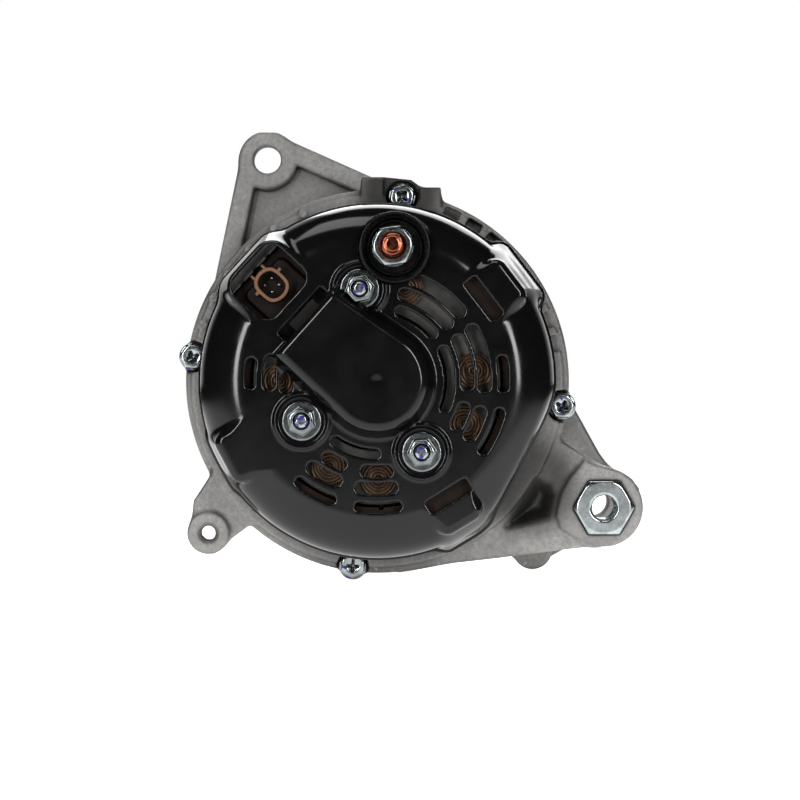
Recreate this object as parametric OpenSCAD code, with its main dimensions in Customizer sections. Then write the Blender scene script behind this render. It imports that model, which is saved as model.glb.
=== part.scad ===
// Car alternator with a hairpin stator, claw pole rotor, rear rectifier and pressed rear cover.
// The shaft lies along Y. Depths are measured from the mounting plane towards the rear cover.

/* [Front housing] */
// Outer radius of the front housing rim
front_rim_r = 69.5; // [66:0.5:76]
// Depth of the step the stator core sits against
core_front_d = 38; // [34:1:44]
// Depth of the outside of the front wall
front_wall_d = 8; // [5:0.5:12]
// Thickness of the front wall
front_wall_t = 6; // [4:0.5:9]
// Radius of the front bearing boss
front_boss_r = 31; // [29:0.5:34]
// How far the bearing boss stands in front of the mounting plane
nose_len = 4; // [1:0.5:8]
// Radius of the ring of through bolts
bolt_circle_r = 66.5; // [65:0.5:70]
// Angle of the first through bolt seen from the rear
bolt_first_angle = 82.4; // [60:0.1:100]
// Radius of the through bolt bosses
bolt_boss_r = 5; // [4.5:0.1:6]

/* [Mounting] */
// Sideways position of the upper ear hole
upper_ear_x = -41.9; // [-60:0.1:-30]
// Height of the upper ear hole
upper_ear_z = 83.6; // [70:0.1:95]
// Radius of the upper ear hole
upper_ear_bore_r = 5.1; // [4:0.05:6.5]
// Radius of the upper ear boss
upper_ear_r = 10.3; // [8:0.1:14]
// Depth of the rear face of the upper ear boss
upper_ear_len = 9.5; // [7:0.5:16]
// Sideways position of the lower lug hole
lower_lug_x = 80.9; // [70:0.1:95]
// Height of the lower lug hole
lower_lug_z = -45.1; // [-60:0.1:-30]
// Radius of the lower lug
lower_lug_r = 14; // [12:0.1:18]
// Radius of the plain hole in the front lug
front_lug_bore_r = 5.25; // [4:0.05:6.5]
// Thickness of the front lug
front_lug_len = 13; // [8:0.5:20]
// Depth of the front face of the rear lug
rear_lug_start_d = 63; // [50:0.5:70]
// Length of the rear lug
rear_lug_len = 21; // [14:0.5:28]
// Size across the flats of the sliding bush
bush_af = 19; // [16:0.5:22]
// Length of the sliding bush
bush_len = 22.5; // [16:0.5:30]
// Radius of the threaded hole in the sliding bush
bush_thread_r = 4.3; // [3.4:0.05:5.2]
// Sideways position of the small ear hole
small_ear_x = -60.3; // [-70:0.1:-50]
// Height of the small ear hole
small_ear_z = -54.1; // [-65:0.1:-40]
// Radius of the threaded hole in the small ear
small_ear_thread_r = 2.55; // [2:0.05:4]
// Radius of the small ear
small_ear_r = 7.5; // [6:0.1:10]

/* [Stator] */
// Outer radius of the stator core
core_r = 63; // [58:0.5:66]
// Inner radius of the stator core
core_bore_r = 50; // [45:0.5:52]
// Length of the stator core
core_len = 32; // [26:1:40]
// Number of slots in the stator core
slot_count = 48; // [36:12:72]
// Width of one stator slot
slot_w = 3.2; // [2:0.1:3.6]

/* [Rear housing] */
// Outer radius of the rear housing rim
rear_rim_r = 68.5; // [66:0.5:74]
// Depth of the inside of the rear end wall
rear_wall_d = 84; // [80:0.5:88]
// Thickness of the rear end wall
rear_wall_t = 6; // [4:0.5:8]
// Radius of the rear bearing boss
rear_boss_r = 21.5; // [20:0.5:26]

/* [Rear cover] */
// Depth of the open rim of the rear cover
cover_rim_d = 92; // [90:0.5:96]
// Depth of the flat floor of the rear cover
cover_floor_d = 124; // [116:0.5:130]
// Radius of the wall of the rear cover
cover_r = 62; // [58:0.5:64]
// Radius of the rounded shoulder of the rear cover
cover_shoulder_r = 15.5; // [6:0.5:16]
// Thickness of the cover sheet
sheet_t = 1.5; // [1:0.1:2.5]
// Height of the raised centre above the floor
plateau_h = 7; // [3:0.5:9]
// Width of the outer cooling slots
outer_slot_w = 3.5; // [2.5:0.1:5]
// Width of the middle cooling slots
middle_slot_w = 4.2; // [3:0.1:5.5]
// Radius of the outer row of cooling slots
slot_row_outer_r = 44; // [42:0.1:46]
// Radius of the second row of cooling slots
slot_row_second_r = 37.4; // [36:0.1:39]
// Radius of the third row of cooling slots
slot_row_third_r = 31.5; // [30:0.1:33]
// Radius of the inner row of cooling slots
slot_row_inner_r = 25.3; // [24:0.1:27]

/* [Rotor] */
// Outer radius of the claw poles
rotor_r = 49.6; // [44:0.1:49.8]
// Number of claws on each pole
claw_count = 8; // [6:1:9]
// Radius of the shaft at the pulley and front bearing
shaft_r = 8.5; // [7:0.5:10]
// Radius of the shaft in the rear bearing
shaft_rear_r = 7.5; // [6:0.5:8]
// Radius of the slip rings
slip_ring_r = 7.2; // [6.5:0.1:9]
// Outer radius of the pulley
pulley_r = 29; // [25:0.5:34]
// Number of grooves in the pulley
pulley_groove_count = 6; // [4:1:8]
// Distance between pulley grooves
pulley_pitch = 3.56; // [3:0.01:4]

/* [Bearings] */
// Outer radius of the front bearing
front_bearing_r = 23.5; // [20:0.5:26]
// Width of the front bearing
front_bearing_w = 14; // [10:1:16]
// Ball radius of the front bearing
front_ball_r = 4.35; // [3:0.05:5]
// Ball circle radius of the front bearing
front_ball_circle_r = 16; // [14:0.5:18]
// Number of balls in the front bearing
front_ball_count = 7; // [6:1:8]
// Outer radius of the rear bearing
rear_bearing_r = 17.5; // [15:0.5:20]
// Width of the rear bearing
rear_bearing_w = 11; // [8:1:14]
// Ball radius of the rear bearing
rear_ball_r = 3; // [2:0.05:3.5]
// Ball circle radius of the rear bearing
rear_ball_circle_r = 12.5; // [11:0.5:14]
// Number of balls in the rear bearing
rear_ball_count = 8; // [6:1:9]

/* [Electrical] */
// Direction of the brushes and regulator seen from the rear
brush_angle = 137.5; // [120:0.5:150]
// Length of a new brush
brush_len = 18; // [10:0.5:20]
// Width of a brush around the shaft
brush_w = 6.5; // [4:0.1:8]
// Thickness of a brush along the shaft
brush_t = 4.5; // [3:0.1:6]
// Radius of the B terminal stud
b_stud_r = 4; // [3:0.5:5]
// Sideways position of the B terminal stud
b_stud_x = 5.5; // [0:0.1:12]
// Height of the B terminal stud
b_stud_z = 46.9; // [42:0.1:50]
// Depth of the free end of the B terminal stud
b_stud_end_d = 138; // [132:0.5:146]
// Outer radius of the B terminal insulator cup
b_cup_r = 12.4; // [11:0.1:15]
// Body radius of the press fit diodes
diode_r = 6.2; // [5:0.1:7]
// Radius of the rectifier studs
stud_r = 2.5; // [2:0.25:3]
// Size across the flats of the small nuts and bolts
small_af = 8; // [7:0.5:10]

/* [Hidden] */
$fn = 96;
full_turn = 360;
quarter_turn = 90;
eps = 0.5;
hair = 0.05;
tip_relief = 0.04;
far = 400;
core_rear_d = core_front_d + core_len;
front_bearing_d = 4;
front_bearing_end_d = front_bearing_d + front_bearing_w;
front_mid_d = front_bearing_d + front_bearing_w / 2;
rear_bearing_d = 88;
rear_bearing_end_d = rear_bearing_d + rear_bearing_w;
rear_mid_d = rear_bearing_d + rear_bearing_w / 2;
rear_wall_end_d = rear_wall_d + rear_wall_t;
plateau_d = cover_floor_d + plateau_h;
inner_floor_d = cover_floor_d - sheet_t;
pilot_len = 4;
bolt_count = 4;
bolt_boss_front_d = 14;
boss_step = 0.8;
front_rim_step = 3;
front_opening_r = 15;
screw_circle_r = 27;
screw_first_angle = 45;
screw_r = 2;
screw_head_r = 3.5;
screw_head_t = 2.4;
retainer_t = 2;
retainer_in_r = 19.8;
round_boss_x = 57.7;
round_boss_z = -62.6;
round_boss_r = 7.8;
round_boss_end_d = 34;
ear_margin = 7;
ear_root_x = -62.5;
ear_root_z = 34;
ear_inner_x = -41.7;
ear_inner_z = 20;
ear_middle_z = 40;
ear_end_x = 4;
ear_end_z = 73;
ear_top_x = -2.8;
ear_top_z = 77.4;
front_lug_outline = [
  [60, -8], [73.8, -9.9], [83.3, -26.9], [93.4, -40.1],
  [77.9, -58.5], [57.7, -69.8], [44, -62.5], [30, -40]
];
rear_lug_outline = [
  [58, -30], [64.5, -22], [77.1, -27.6], [92.3, -38.1], [78.9, -58.6],
  [70.6, -59.6], [43.8, -63.4], [8.1, -67.2], [12, -58], [40, -45]
];
rear_lug_face_outline = [
  [74.2, -28], [69, -34.3], [65.8, -40.1], [63.8, -47.8], [65.6, -52.6], [77.4, -58], [84, -45]
];
rear_lug_pocket_outline = [
  [56.6, -35.4], [61.4, -37], [63.4, -40.6], [61.4, -48.4], [46.4, -51.8]
];
top_block_outline = [
  [22.7, 55], [24.5, 65], [22.7, 69.5], [14.9, 70.1],
  [12, 72.6], [2.2, 73.2], [-5.9, 73.2], [-7, 60]
];
small_ear_outline = [
  [-56, -28], [-65.4, -42.5], [-66.9, -52.1], [-58.3, -61.2], [-45.9, -51.5], [-36, -48]
];
rim_window_count = 8;
rim_window_first_angle = 12;
rim_window_step = 7.7;
rim_window_half_w = 2.9;
rim_window_in_r = 63.6;
rim_window_out_r = 67;
rim_window_d = 78;
ledge_r = 61;
bolt_shank_r = 2.5;
bolt_head_d = 80;
bolt_flange_t = 1.4;
bolt_head_end_d = 84.6;
bolt_flange_r = 5;
recess_w = 1.2;
recess_len = 4.6;
recess_t = 1.8;
rim_wall_d = 12;
ball_gap = 0.03;
ball_first_angle = 11;
front_race_in_r = 12.8;
front_race_out_r = 19.2;
front_cage_half_w = 5.4;
rear_race_in_r = 10.4;
rear_race_out_r = 14.6;
rear_cage_half_w = 3.9;
cage_half_t = 0.8;
shield_t = 0.7;
shield_inset = 0.2;
shield_gap = 0.2;
hex_sides = 6;
hex_factor = 2 / sqrt(3);
ear_web_front_d = 0.8;
ear_web_rear_d = 4.5;
ear_rib_rear_d = 10;
front_lug_rear_d = 12;
vent_in_r = 36;
vent_out_r = 55;
vent_count = 12;
vent_half_angle = 9.5;
vent_first_angle = 15;
side_vent_in_r = 57;
side_vent_out_r = 72.6;
bolt_tip_d = 20;
side_vent_half_w = 7;
side_vent_front_d = 17;
side_vent_rear_d = 29;
rear_start_d = core_rear_d - pilot_len;
rear_rim_step = 2;
rear_lip = 1.5;
rear_opening_r = 13;
rear_web_step = 3;
rear_lug_pocket_d = 72;
rear_vent_r = 47.5;
rear_vent_w = 13;
rear_vent_spans = [[-35, 18], [28, 70], [-98, -50], [-170, -112], [110, 165]];
rear_window_half_w = 6;
rear_window_front_d = 73;
rear_window_rear_d = 80;
sleeve_t = 1;
sleeve_overhang = 0.5;
bolt_clearance = 0.2;
head_clearance = 0.6;
thread_chamfer = 1.4;
small_ear_front_d = 76;
small_ear_rear_d = 87;
top_block_end_d = 82;
top_pad_d = 78;
top_pad_t = 8;
top_pad_left_x = -5.9;
top_pad_left_w = 8.1;
top_pad_left_z = 72.4;
top_pad_right_x = 14.9;
top_pad_right_w = 7.8;
top_pad_right_z = 69;
radian = 180 / PI;
stud_spots = [[-5.9, 31.9], [-26, -13.8], [15.6, -24.6]];
stud_start_d = 84;
bush_chamfer = 1;
stud_end_d = 132.5;
winding_in_r = core_bore_r + 1.5;
winding_t = 9;
crown_near = 2;
crown_far = 8;
lead_angles = [42, -62, -125];
lead_in_r = 50.6;
lead_out_r = 53.4;
lead_half_w = 1.1;
lead_end_d = 108;
sink_neg_d = 96;
sink_t = 3.5;
sink_neg_r = 56;
sink_neg_in_r = 23;
sink_pos_d = 112;
sink_pos_r = 43;
sink_pos_in_r = 24.5;
sink_gap_start = 95;
sink_gap_end = 167;
spacer_bush_r = 5;
block_d = 102;
block_t = 4;
block_rim_in_r = 44;
block_rim_r = 50.3;
block_rim_end_d = 118;
pos_diode_r = 34;
pos_diode_d = 107;
pos_diode_end_d = 117.5;
neg_diode_r = 44;
neg_diode_d = 91.5;
neg_diode_end_d = 101.5;
brush_front_ring_d = 110.5;
brush_rear_ring_d = 118.5;
ring_w = 6;
brush_inner_r = slip_ring_r + hair;
holder_in_r = 9.5;
holder_out_r = 36;
holder_d = 104;
holder_end_d = 122.3;
holder_half_w = 6;
channel_gap = 0.05;
spring_in_r = brush_inner_r + brush_len;
spring_out_r = 34.5;
spring_r = 1.7;
spring_wire_r = 0.3;
spring_turns = 7;
spring_steps = 12;
conn_r = 49.6;
conn_radial_r = 5.8;
conn_tangent_r = 5.2;
conn_wall = 1.2;
conn_end_d = 121;
conn_floor_d = 112;
conn_corner = 0.6;
reg_in_r = 39;
reg_out_r = 57.5;
reg_half_w = 12.4;
reg_d = 103;
reg_end_d = 111;
reg_step_out_r = 54;
reg_step_half_w = 9.5;
reg_step_end_d = 113.5;
key_spread = 2.6;
key_len = 1.6;
side_key_half_w = 0.8;
pin_half_w = 0.4;
pin_spread = 1.7;
pin_d = 106;
pin_end_d = 118;
fin_plate_t = 2.5;
fin_pitch = 6.4;
fin_half_w = 2.4;
fin_end_d = 115;
ring_cover_d = 102.5;
ring_cover_end_d = 126;
ring_cover_r = 11.5;
ring_cover_in_r = 9.2;
open_mid_r = 51.6;
open_radial_half = 10.6;
open_tangent_half = 11.4;
open_corner_r = 5;
nut_flange_t = 1.6;
nut_t = 6.4;
nut_lip_r = 9.3;
nut_recess_r = 7.2;
stud_clearance = 0.1;
rim_overlap = 2;
bulge_in_r = 30;
bulge_knee_d = cover_rim_d + 14;
bulge_chamfer = 4;
// Bulges of the cover: direction, radius at the rim and floor, half width at the rim and floor
bulges = [
  [37.4, 65.1, 60.2, 14, 9.4],
  [-58.8, 64.3, 60, 12.5, 9.4],
  [209, 62.5, 60.2, 13, 9.6]
];
dome_angle = brush_angle - 1.5;
dome_left_r = 64.2;
dome_right_r = 62.6;
dome_left_side_r = 60;
dome_right_side_r = 58;
dome_left_w = 15.2;
dome_right_w = 14.2;
dome_flat_half_w = 9;
lug_cut_angle = -29;
lug_cut_r = 58;
// Cooling slots of the cover: radius, width, first angle and last angle
cover_slots = [
  [slot_row_outer_r, outer_slot_w, -5, 11.5],
  [slot_row_second_r, middle_slot_w, -6, 31],
  [slot_row_third_r, middle_slot_w, -6, 30],
  [slot_row_inner_r, outer_slot_w, -25, 28],
  [slot_row_second_r, middle_slot_w, 37, 72],
  [slot_row_third_r, middle_slot_w, 36, 75],
  [slot_row_inner_r, outer_slot_w, 37, 75],
  [slot_row_outer_r, outer_slot_w, -35, -12.6],
  [slot_row_second_r, middle_slot_w, -33, -14],
  [slot_row_third_r, middle_slot_w, -32, -14],
  [slot_row_outer_r, outer_slot_w, -100, -78.7],
  [slot_row_second_r, middle_slot_w, -101.5, -79],
  [slot_row_third_r, middle_slot_w, -100, -80],
  [slot_row_inner_r, outer_slot_w, -128, -87.6],
  [slot_row_outer_r, outer_slot_w, -129.4, -109],
  [slot_row_second_r, middle_slot_w, -129.6, -109.4],
  [slot_row_third_r, middle_slot_w, -126, -110],
  [slot_row_outer_r, outer_slot_w, 169.5, 183.7],
  [slot_row_second_r, middle_slot_w, 166, 185],
  [slot_row_third_r, middle_slot_w, 175, 188]
];
plateau_r = 18.4;
plateau_left_x = -36;
plateau_left_z = 9.5;
plateau_top_x = -16;
plateau_top_z = 32;
square_hole_angles = [37.6, -58];
square_hole_in_r = 44.4;
square_hole_out_r = 49.3;
square_hole_half_w = 8.2;
slit_in_r = 33.8;
slit_out_r = 36.8;
slit_half_w = 10.4;
slit_d = 120.5;
foot_r = 7;
b_tab_r = 9.5;
b_head_r = 7;
b_head_t = 4;
b_relief_t = 1;
b_relief_r = 3.4;
b_tip_r = 3.1;
b_stem_r = 8.2;
block_gap = 0.2;
diode_lead_r = 0.8;
neg_lead_end_d = 109;
pos_lead_end_d = 121;
lead_slot_r = 49.8;
lead_slot_half_w = 2.2;
pos_diode_angles = [73, 6, -26, -89, -119, 180];
neg_diode_angles = [62, 22, -10, -45, -88, -150];
b_cup_x = 6.2;
b_cup_z = 46.3;
b_cup_floor_d = 115.5;
b_cup_floor_t = 4.5;
b_cup_dish_d = 118.4;
nut_flange_r = 6.3;
b_cup_end_d = 128;
b_cup_wall = 1.3;
b_nut_af = 13;
b_nut_t = 6.5;
b_washer_r = 7.3;
b_washer_t = 1.6;
b_nut_end_d = b_cup_floor_d + b_cup_floor_t + b_washer_t + b_nut_t;
rotor_front_d = 38;
rotor_rear_d = 70;
claw_web_t = 7;
claw_in_r = 41;
claw_root_half_w = 11.5;
claw_tip_half_w = 4;
hub_r = 24;
bobbin_t = 1;
coil_r = 38;
claw_tip_gap = 2;
rotor_mid_d = (rotor_front_d + rotor_rear_d) / 2;
fan_r = 44;
fan_t = 1.2;
fan_in_r = 14;
fan_blade_len = 8;
fan_blade_r = 37;
fan_blade_turn = 32;
fan_blade_half_len = 7.5;
fan_blades = 11;
shaft_front_d = -45;
shaft_mid_r = 10;
shaft_step_d = 86;
shaft_tail_r = 4.5;
shaft_end_d = 123;
ring_in_r = 6;
sleeve_d = 101;
sleeve_end_d = 122.5;
bearing_spacer_r = 13.5;
pulley_d = -37;
pulley_end_d = -10;
pulley_spacer_r = 12.2;
pulley_groove_h = 3;
pulley_flange_t = 2.2;
pulley_flange_h = 0.8;
pulley_rib_inset = 0.6;
pulley_dish_t = 9;
pulley_dish_r = 19;
pulley_hub_t = 7.5;
pulley_hub_r = 12.5;
rib_foot_half_w = 1.5;
rib_tip_half_w = 0.4;
pulley_nut_d = -28;
pulley_nut_t = 13;
pulley_nut_af = 24;
pulley_nut_flange_t = 2.2;
pulley_nut_flange_r = 14;

// Turns a drawing made with depth along Z so that depth runs towards the rear of the alternator
module depth_frame() {
  rotate([90, 0, 0])
    children();
}

module disc(d0, d1, r) {
  translate([0, 0, d0])
    cylinder(r = r, h = d1 - d0);
}

module ring(d0, d1, r_out, r_in) {
  translate([0, 0, d0])
    linear_extrude(height = d1 - d0)
      difference() {
        circle(r = r_out);
        circle(r = r_in);
      }
}

module post(x, z, d0, d1, r) {
  translate([x, z, d0])
    cylinder(r = r, h = d1 - d0);
}

module around(count, first = 0) {
  for (i = [0 : count - 1])
    rotate([0, 0, first + i * full_turn / count])
      children();
}

module at_bolts() {
  around(bolt_count, bolt_first_angle)
    translate([bolt_circle_r, 0, 0])
      children();
}

module at_screws() {
  around(bolt_count, screw_first_angle)
    translate([screw_circle_r, 0, 0])
      children();
}

module plate(d0, d1, outline) {
  translate([0, 0, d0])
    linear_extrude(height = d1 - d0)
      polygon(outline);
}

module arc_slot(r, w, a0, a1, d0, d1) {
  mid = w / 2;
  rotate([0, 0, a0])
    rotate_extrude(angle = a1 - a0)
      translate([r - mid, d0])
        square([w, d1 - d0]);
  rotate([0, 0, a0])
    translate([r, 0, d0])
      cylinder(r = mid - tip_relief, h = d1 - d0);
  rotate([0, 0, a1])
    translate([r, 0, d0])
      cylinder(r = mid - tip_relief, h = d1 - d0);
}

module hex_bar(af, d0, d1) {
  translate([0, 0, d0])
    cylinder(r = af / 2 * hex_factor, h = d1 - d0, $fn = hex_sides);
}

// Box whose centre line runs outwards from the shaft, given by radius, width around the shaft and depth
module radial_box(r0, r1, half_w, d0, d1) {
  translate([r0, -half_w, d0])
    cube([r1 - r0, 2 * half_w, d1 - d0]);
}

module at_studs() {
  for (spot = stud_spots)
    translate([spot[0], spot[1], 0])
      children();
}

module ear_outline(margin) {
  cut = upper_ear_r - hair - margin;
  polygon([
    [upper_ear_x - cut, upper_ear_z + 1],
    [ear_root_x + margin, ear_root_z + margin],
    [ear_inner_x, ear_inner_z + margin],
    [0, ear_middle_z + margin],
    [ear_end_x - margin, ear_end_z - margin],
    [ear_top_x, ear_top_z - margin],
    [upper_ear_x + cut * 0.4, upper_ear_z + cut * 0.9]
  ]);
}

module front_housing() {
  color("silver")
    depth_frame()
      difference() {
        front_solid();
        front_cuts();
      }
}

module front_solid() {
  disc(rim_wall_d, core_front_d + pilot_len, front_rim_r);
  disc(front_wall_d, rim_wall_d + eps, front_rim_r - front_rim_step);
  disc(-nose_len, front_bearing_end_d, front_boss_r);
  at_bolts()
    disc(bolt_boss_front_d, core_front_d + pilot_len - boss_step, bolt_boss_r);
  difference() {
    translate([0, 0, ear_web_front_d])
      linear_extrude(height = ear_rib_rear_d - ear_web_front_d)
        ear_outline(0);
    translate([0, 0, ear_web_rear_d])
      linear_extrude(height = ear_rib_rear_d)
        ear_outline(ear_margin);
  }
  post(upper_ear_x, upper_ear_z, 0, upper_ear_len, upper_ear_r);
  post(lower_lug_x, lower_lug_z, 0, front_lug_len, lower_lug_r);
  translate([0, 0, ear_web_front_d])
    linear_extrude(height = front_lug_rear_d - ear_web_front_d)
      polygon(front_lug_outline);
  post(round_boss_x, round_boss_z, ear_web_front_d, round_boss_end_d, round_boss_r);
}

module front_cuts() {
  disc(front_bearing_d, front_bearing_end_d + eps, front_bearing_r);
  disc(-nose_len - eps, front_bearing_d + eps, front_opening_r);
  disc(front_bearing_end_d, core_front_d - 1, ledge_r);
  difference() {
    disc(front_wall_d + front_wall_t, core_front_d + eps, ledge_r);
    disc(0, front_bearing_end_d, front_boss_r);
  }
  disc(core_front_d, core_front_d + pilot_len + eps, core_r);
  around(vent_count, vent_first_angle - vent_half_angle)
    rotate_extrude(angle = 2 * vent_half_angle)
      translate([vent_in_r, 0])
        square([vent_out_r - vent_in_r, core_front_d]);
  around(vent_count, bolt_first_angle + vent_first_angle)
    radial_box(side_vent_in_r, side_vent_out_r, side_vent_half_w, side_vent_front_d, side_vent_rear_d);
  at_bolts()
    disc(bolt_tip_d - 2, far, bolt_shank_r);
  post(upper_ear_x, upper_ear_z, -eps, far, upper_ear_bore_r);
  post(lower_lug_x, lower_lug_z, -eps, far, front_lug_bore_r);
  at_screws()
    disc(front_wall_d, far, screw_r);
}

module rear_housing() {
  color("silver")
    depth_frame()
      difference() {
        rear_solid();
        rear_cuts();
      }
}

module rear_solid() {
  disc(rear_start_d, rear_wall_d - rear_rim_step, rear_rim_r);
  disc(rear_wall_d - rear_rim_step - eps, rear_wall_d + rear_lip, rear_rim_r - rear_rim_step);
  disc(rear_wall_d - eps, rear_wall_end_d, cover_r - sheet_t - rear_rim_step);
  disc(rear_wall_d - eps, rear_bearing_end_d + eps, rear_boss_r);
  at_bolts()
    disc(rear_start_d + boss_step, bolt_head_d, bolt_boss_r);
  plate(core_rear_d, top_block_end_d, top_block_outline);
  translate([top_pad_left_x, ledge_r, top_pad_d])
    cube([top_pad_left_w, top_pad_left_z - ledge_r, top_pad_t]);
  translate([top_pad_right_x, ledge_r, top_pad_d])
    cube([top_pad_right_w, top_pad_right_z - ledge_r, top_pad_t]);
  translate([0, 0, rear_lug_start_d])
    linear_extrude(height = rear_lug_len) {
      translate([lower_lug_x, lower_lug_z])
        circle(r = lower_lug_r);
      polygon(rear_lug_face_outline);
    }
  plate(rear_lug_start_d + rear_web_step, rear_lug_start_d + rear_lug_len - rear_lip, rear_lug_outline);
  post(small_ear_x, small_ear_z, small_ear_front_d, small_ear_rear_d, small_ear_r);
  plate(small_ear_front_d + 1, small_ear_rear_d - 1, small_ear_outline);
}

module rear_cuts() {
  disc(rear_start_d - eps, core_rear_d, core_r);
  disc(core_rear_d - eps, rear_wall_d, ledge_r);
  disc(rear_bearing_d - sleeve_overhang, far, rear_bearing_r + sleeve_t);
  disc(rear_wall_d - eps, rear_bearing_d, rear_opening_r);
  at_bolts()
    disc(rear_start_d - eps, far, bolt_shank_r + bolt_clearance);
  at_bolts()
    disc(bolt_head_d, far, bolt_flange_r + head_clearance);
  for (i = [0 : rim_window_count - 1])
    rotate([0, 0, rim_window_first_angle + i * rim_window_step])
      radial_box(rim_window_in_r, rim_window_out_r, rim_window_half_w, rim_window_d, far);
  for (span = rear_vent_spans)
    rear_vent(span[0], span[1]);
  around(vent_count, bolt_first_angle + vent_first_angle)
    radial_box(side_vent_in_r, side_vent_out_r, rear_window_half_w, rear_window_front_d,
      rear_window_rear_d);
  at_studs()
    disc(0, far, stud_r);
  translate([lower_lug_x, lower_lug_z, 0])
    hex_bar(bush_af + 2 * hair, 0, far);
  plate(rear_lug_pocket_d, far, rear_lug_pocket_outline);
  post(small_ear_x, small_ear_z, 0, far, small_ear_thread_r);
  translate([small_ear_x, small_ear_z, small_ear_rear_d - thread_chamfer])
    cylinder(r1 = small_ear_thread_r, r2 = small_ear_thread_r + thread_chamfer, h = thread_chamfer);
}

// One cooling opening in the rear wall between two angles, with round ends
module rear_vent(a0, a1) {
  trim = rear_vent_w / 2 / rear_vent_r * radian;
  arc_slot(rear_vent_r, rear_vent_w, a0 + trim, a1 - trim, rear_wall_d - eps, far);
}

module mount_bush() {
  color("gainsboro")
    depth_frame()
      translate([lower_lug_x, lower_lug_z, 0])
        difference() {
          hex_bar(bush_af, rear_lug_start_d, rear_lug_start_d + bush_len);
          post(0, 0, 0, far, bush_thread_r);
          translate([0, 0, rear_lug_start_d + bush_len - bush_chamfer])
            cylinder(r1 = bush_thread_r, r2 = bush_thread_r + bush_chamfer, h = bush_chamfer + hair);
        }
}

module stator_core() {
  color("dimgray")
    depth_frame()
      translate([0, 0, core_front_d])
        linear_extrude(height = core_len)
          difference() {
            circle(r = core_r);
            circle(r = core_bore_r);
            for (i = [0 : slot_count - 1])
              rotate(i * full_turn / slot_count)
                translate([winding_in_r, -slot_w / 2])
                  square([winding_t, slot_w]);
          }
}

module stator_winding() {
  winding_out_r = winding_in_r + winding_t;
  color("peru")
    depth_frame() {
      ring(core_front_d - crown_far, core_front_d - crown_near, winding_out_r, winding_in_r);
      ring(core_rear_d + crown_near, core_rear_d + crown_far, winding_out_r, winding_in_r);
      around(slot_count)
        radial_box(winding_in_r, winding_out_r, slot_w / 2, core_front_d - crown_near - 1,
          core_rear_d + crown_near + 1);
    }
}

module stator_leads() {
  color("peru")
    depth_frame()
      for (a = lead_angles)
        rotate([0, 0, a])
          radial_box(lead_in_r, lead_out_r, lead_half_w, core_rear_d + crown_far, lead_end_d);
}

module through_bolt() {
  disc(bolt_tip_d, bolt_head_d, bolt_shank_r);
  disc(bolt_head_d, bolt_head_d + bolt_flange_t, bolt_flange_r);
  difference() {
    hex_bar(small_af, bolt_head_d + bolt_flange_t - hair, bolt_head_end_d);
    translate([-recess_len / 2, -recess_w / 2, bolt_head_end_d - recess_t])
      cube([recess_len, recess_w, far]);
    translate([-recess_w / 2, -recess_len / 2, bolt_head_end_d - recess_t])
      cube([recess_w, recess_len, far]);
  }
}

module through_bolts() {
  color("lightgray")
    depth_frame()
      at_bolts()
        through_bolt();
}

module bearing_retainer() {
  color("lightgray")
    depth_frame()
      difference() {
        ring(front_bearing_end_d, front_bearing_end_d + retainer_t, front_boss_r - 1, retainer_in_r);
        at_screws()
          disc(0, far, screw_r);
      }
}

module retainer_screws() {
  head_d = front_bearing_end_d + retainer_t;
  head_end_d = head_d + screw_head_t;
  color("gainsboro")
    depth_frame()
      at_screws() {
        disc(front_wall_d + 2, head_d, screw_r);
        difference() {
          disc(head_d, head_end_d, screw_head_r);
          radial_box(-screw_r, screw_r, eps, head_end_d - 1, far);
        }
      }
}

module groove(mid_d, circle_r, ball) {
  translate([0, 0, mid_d])
    rotate_extrude()
      translate([circle_r, 0])
        circle(r = ball + ball_gap);
}

module ball_pocket(mid_d, half_w) {
  radial_box(0, core_r, half_w, mid_d - half_w, mid_d + half_w);
}

module front_bearing_outer() {
  color("lightsteelblue")
    depth_frame()
      difference() {
        ring(front_bearing_d, front_bearing_end_d, front_bearing_r, front_race_out_r);
        groove(front_mid_d, front_ball_circle_r, front_ball_r);
      }
}

module front_bearing_inner() {
  color("lightsteelblue")
    depth_frame()
      difference() {
        ring(front_bearing_d, front_bearing_end_d, front_race_in_r, shaft_r);
        groove(front_mid_d, front_ball_circle_r, front_ball_r);
      }
}

module front_bearing_shields() {
  color("darkgray")
    depth_frame() {
      for (d = [front_bearing_d + shield_inset, front_bearing_end_d - shield_inset - shield_t])
        ring(d, d + shield_t, front_race_out_r, front_race_in_r + shield_gap);
    }
}

module front_bearing_balls() {
  color("white")
    depth_frame()
      around(front_ball_count, ball_first_angle)
        translate([front_ball_circle_r, 0, front_mid_d])
          sphere(r = front_ball_r);
}

module front_bearing_cage() {
  color("goldenrod")
    depth_frame()
      difference() {
        ring(front_mid_d - front_cage_half_w, front_mid_d + front_cage_half_w,
          front_ball_circle_r + cage_half_t, front_ball_circle_r - cage_half_t);
        around(front_ball_count, ball_first_angle)
          ball_pocket(front_mid_d, front_ball_r + hair);
      }
}

module rear_bearing_outer() {
  color("lightsteelblue")
    depth_frame()
      difference() {
        ring(rear_bearing_d, rear_bearing_end_d, rear_bearing_r, rear_race_out_r);
        groove(rear_mid_d, rear_ball_circle_r, rear_ball_r);
      }
}

module rear_bearing_inner() {
  color("lightsteelblue")
    depth_frame()
      difference() {
        ring(rear_bearing_d, rear_bearing_end_d, rear_race_in_r, shaft_rear_r);
        groove(rear_mid_d, rear_ball_circle_r, rear_ball_r);
      }
}

module rear_bearing_shields() {
  color("darkgray")
    depth_frame() {
      for (d = [rear_bearing_d + shield_inset, rear_bearing_end_d - shield_inset - shield_t])
        ring(d, d + shield_t, rear_race_out_r, rear_race_in_r + shield_gap);
    }
}

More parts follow.
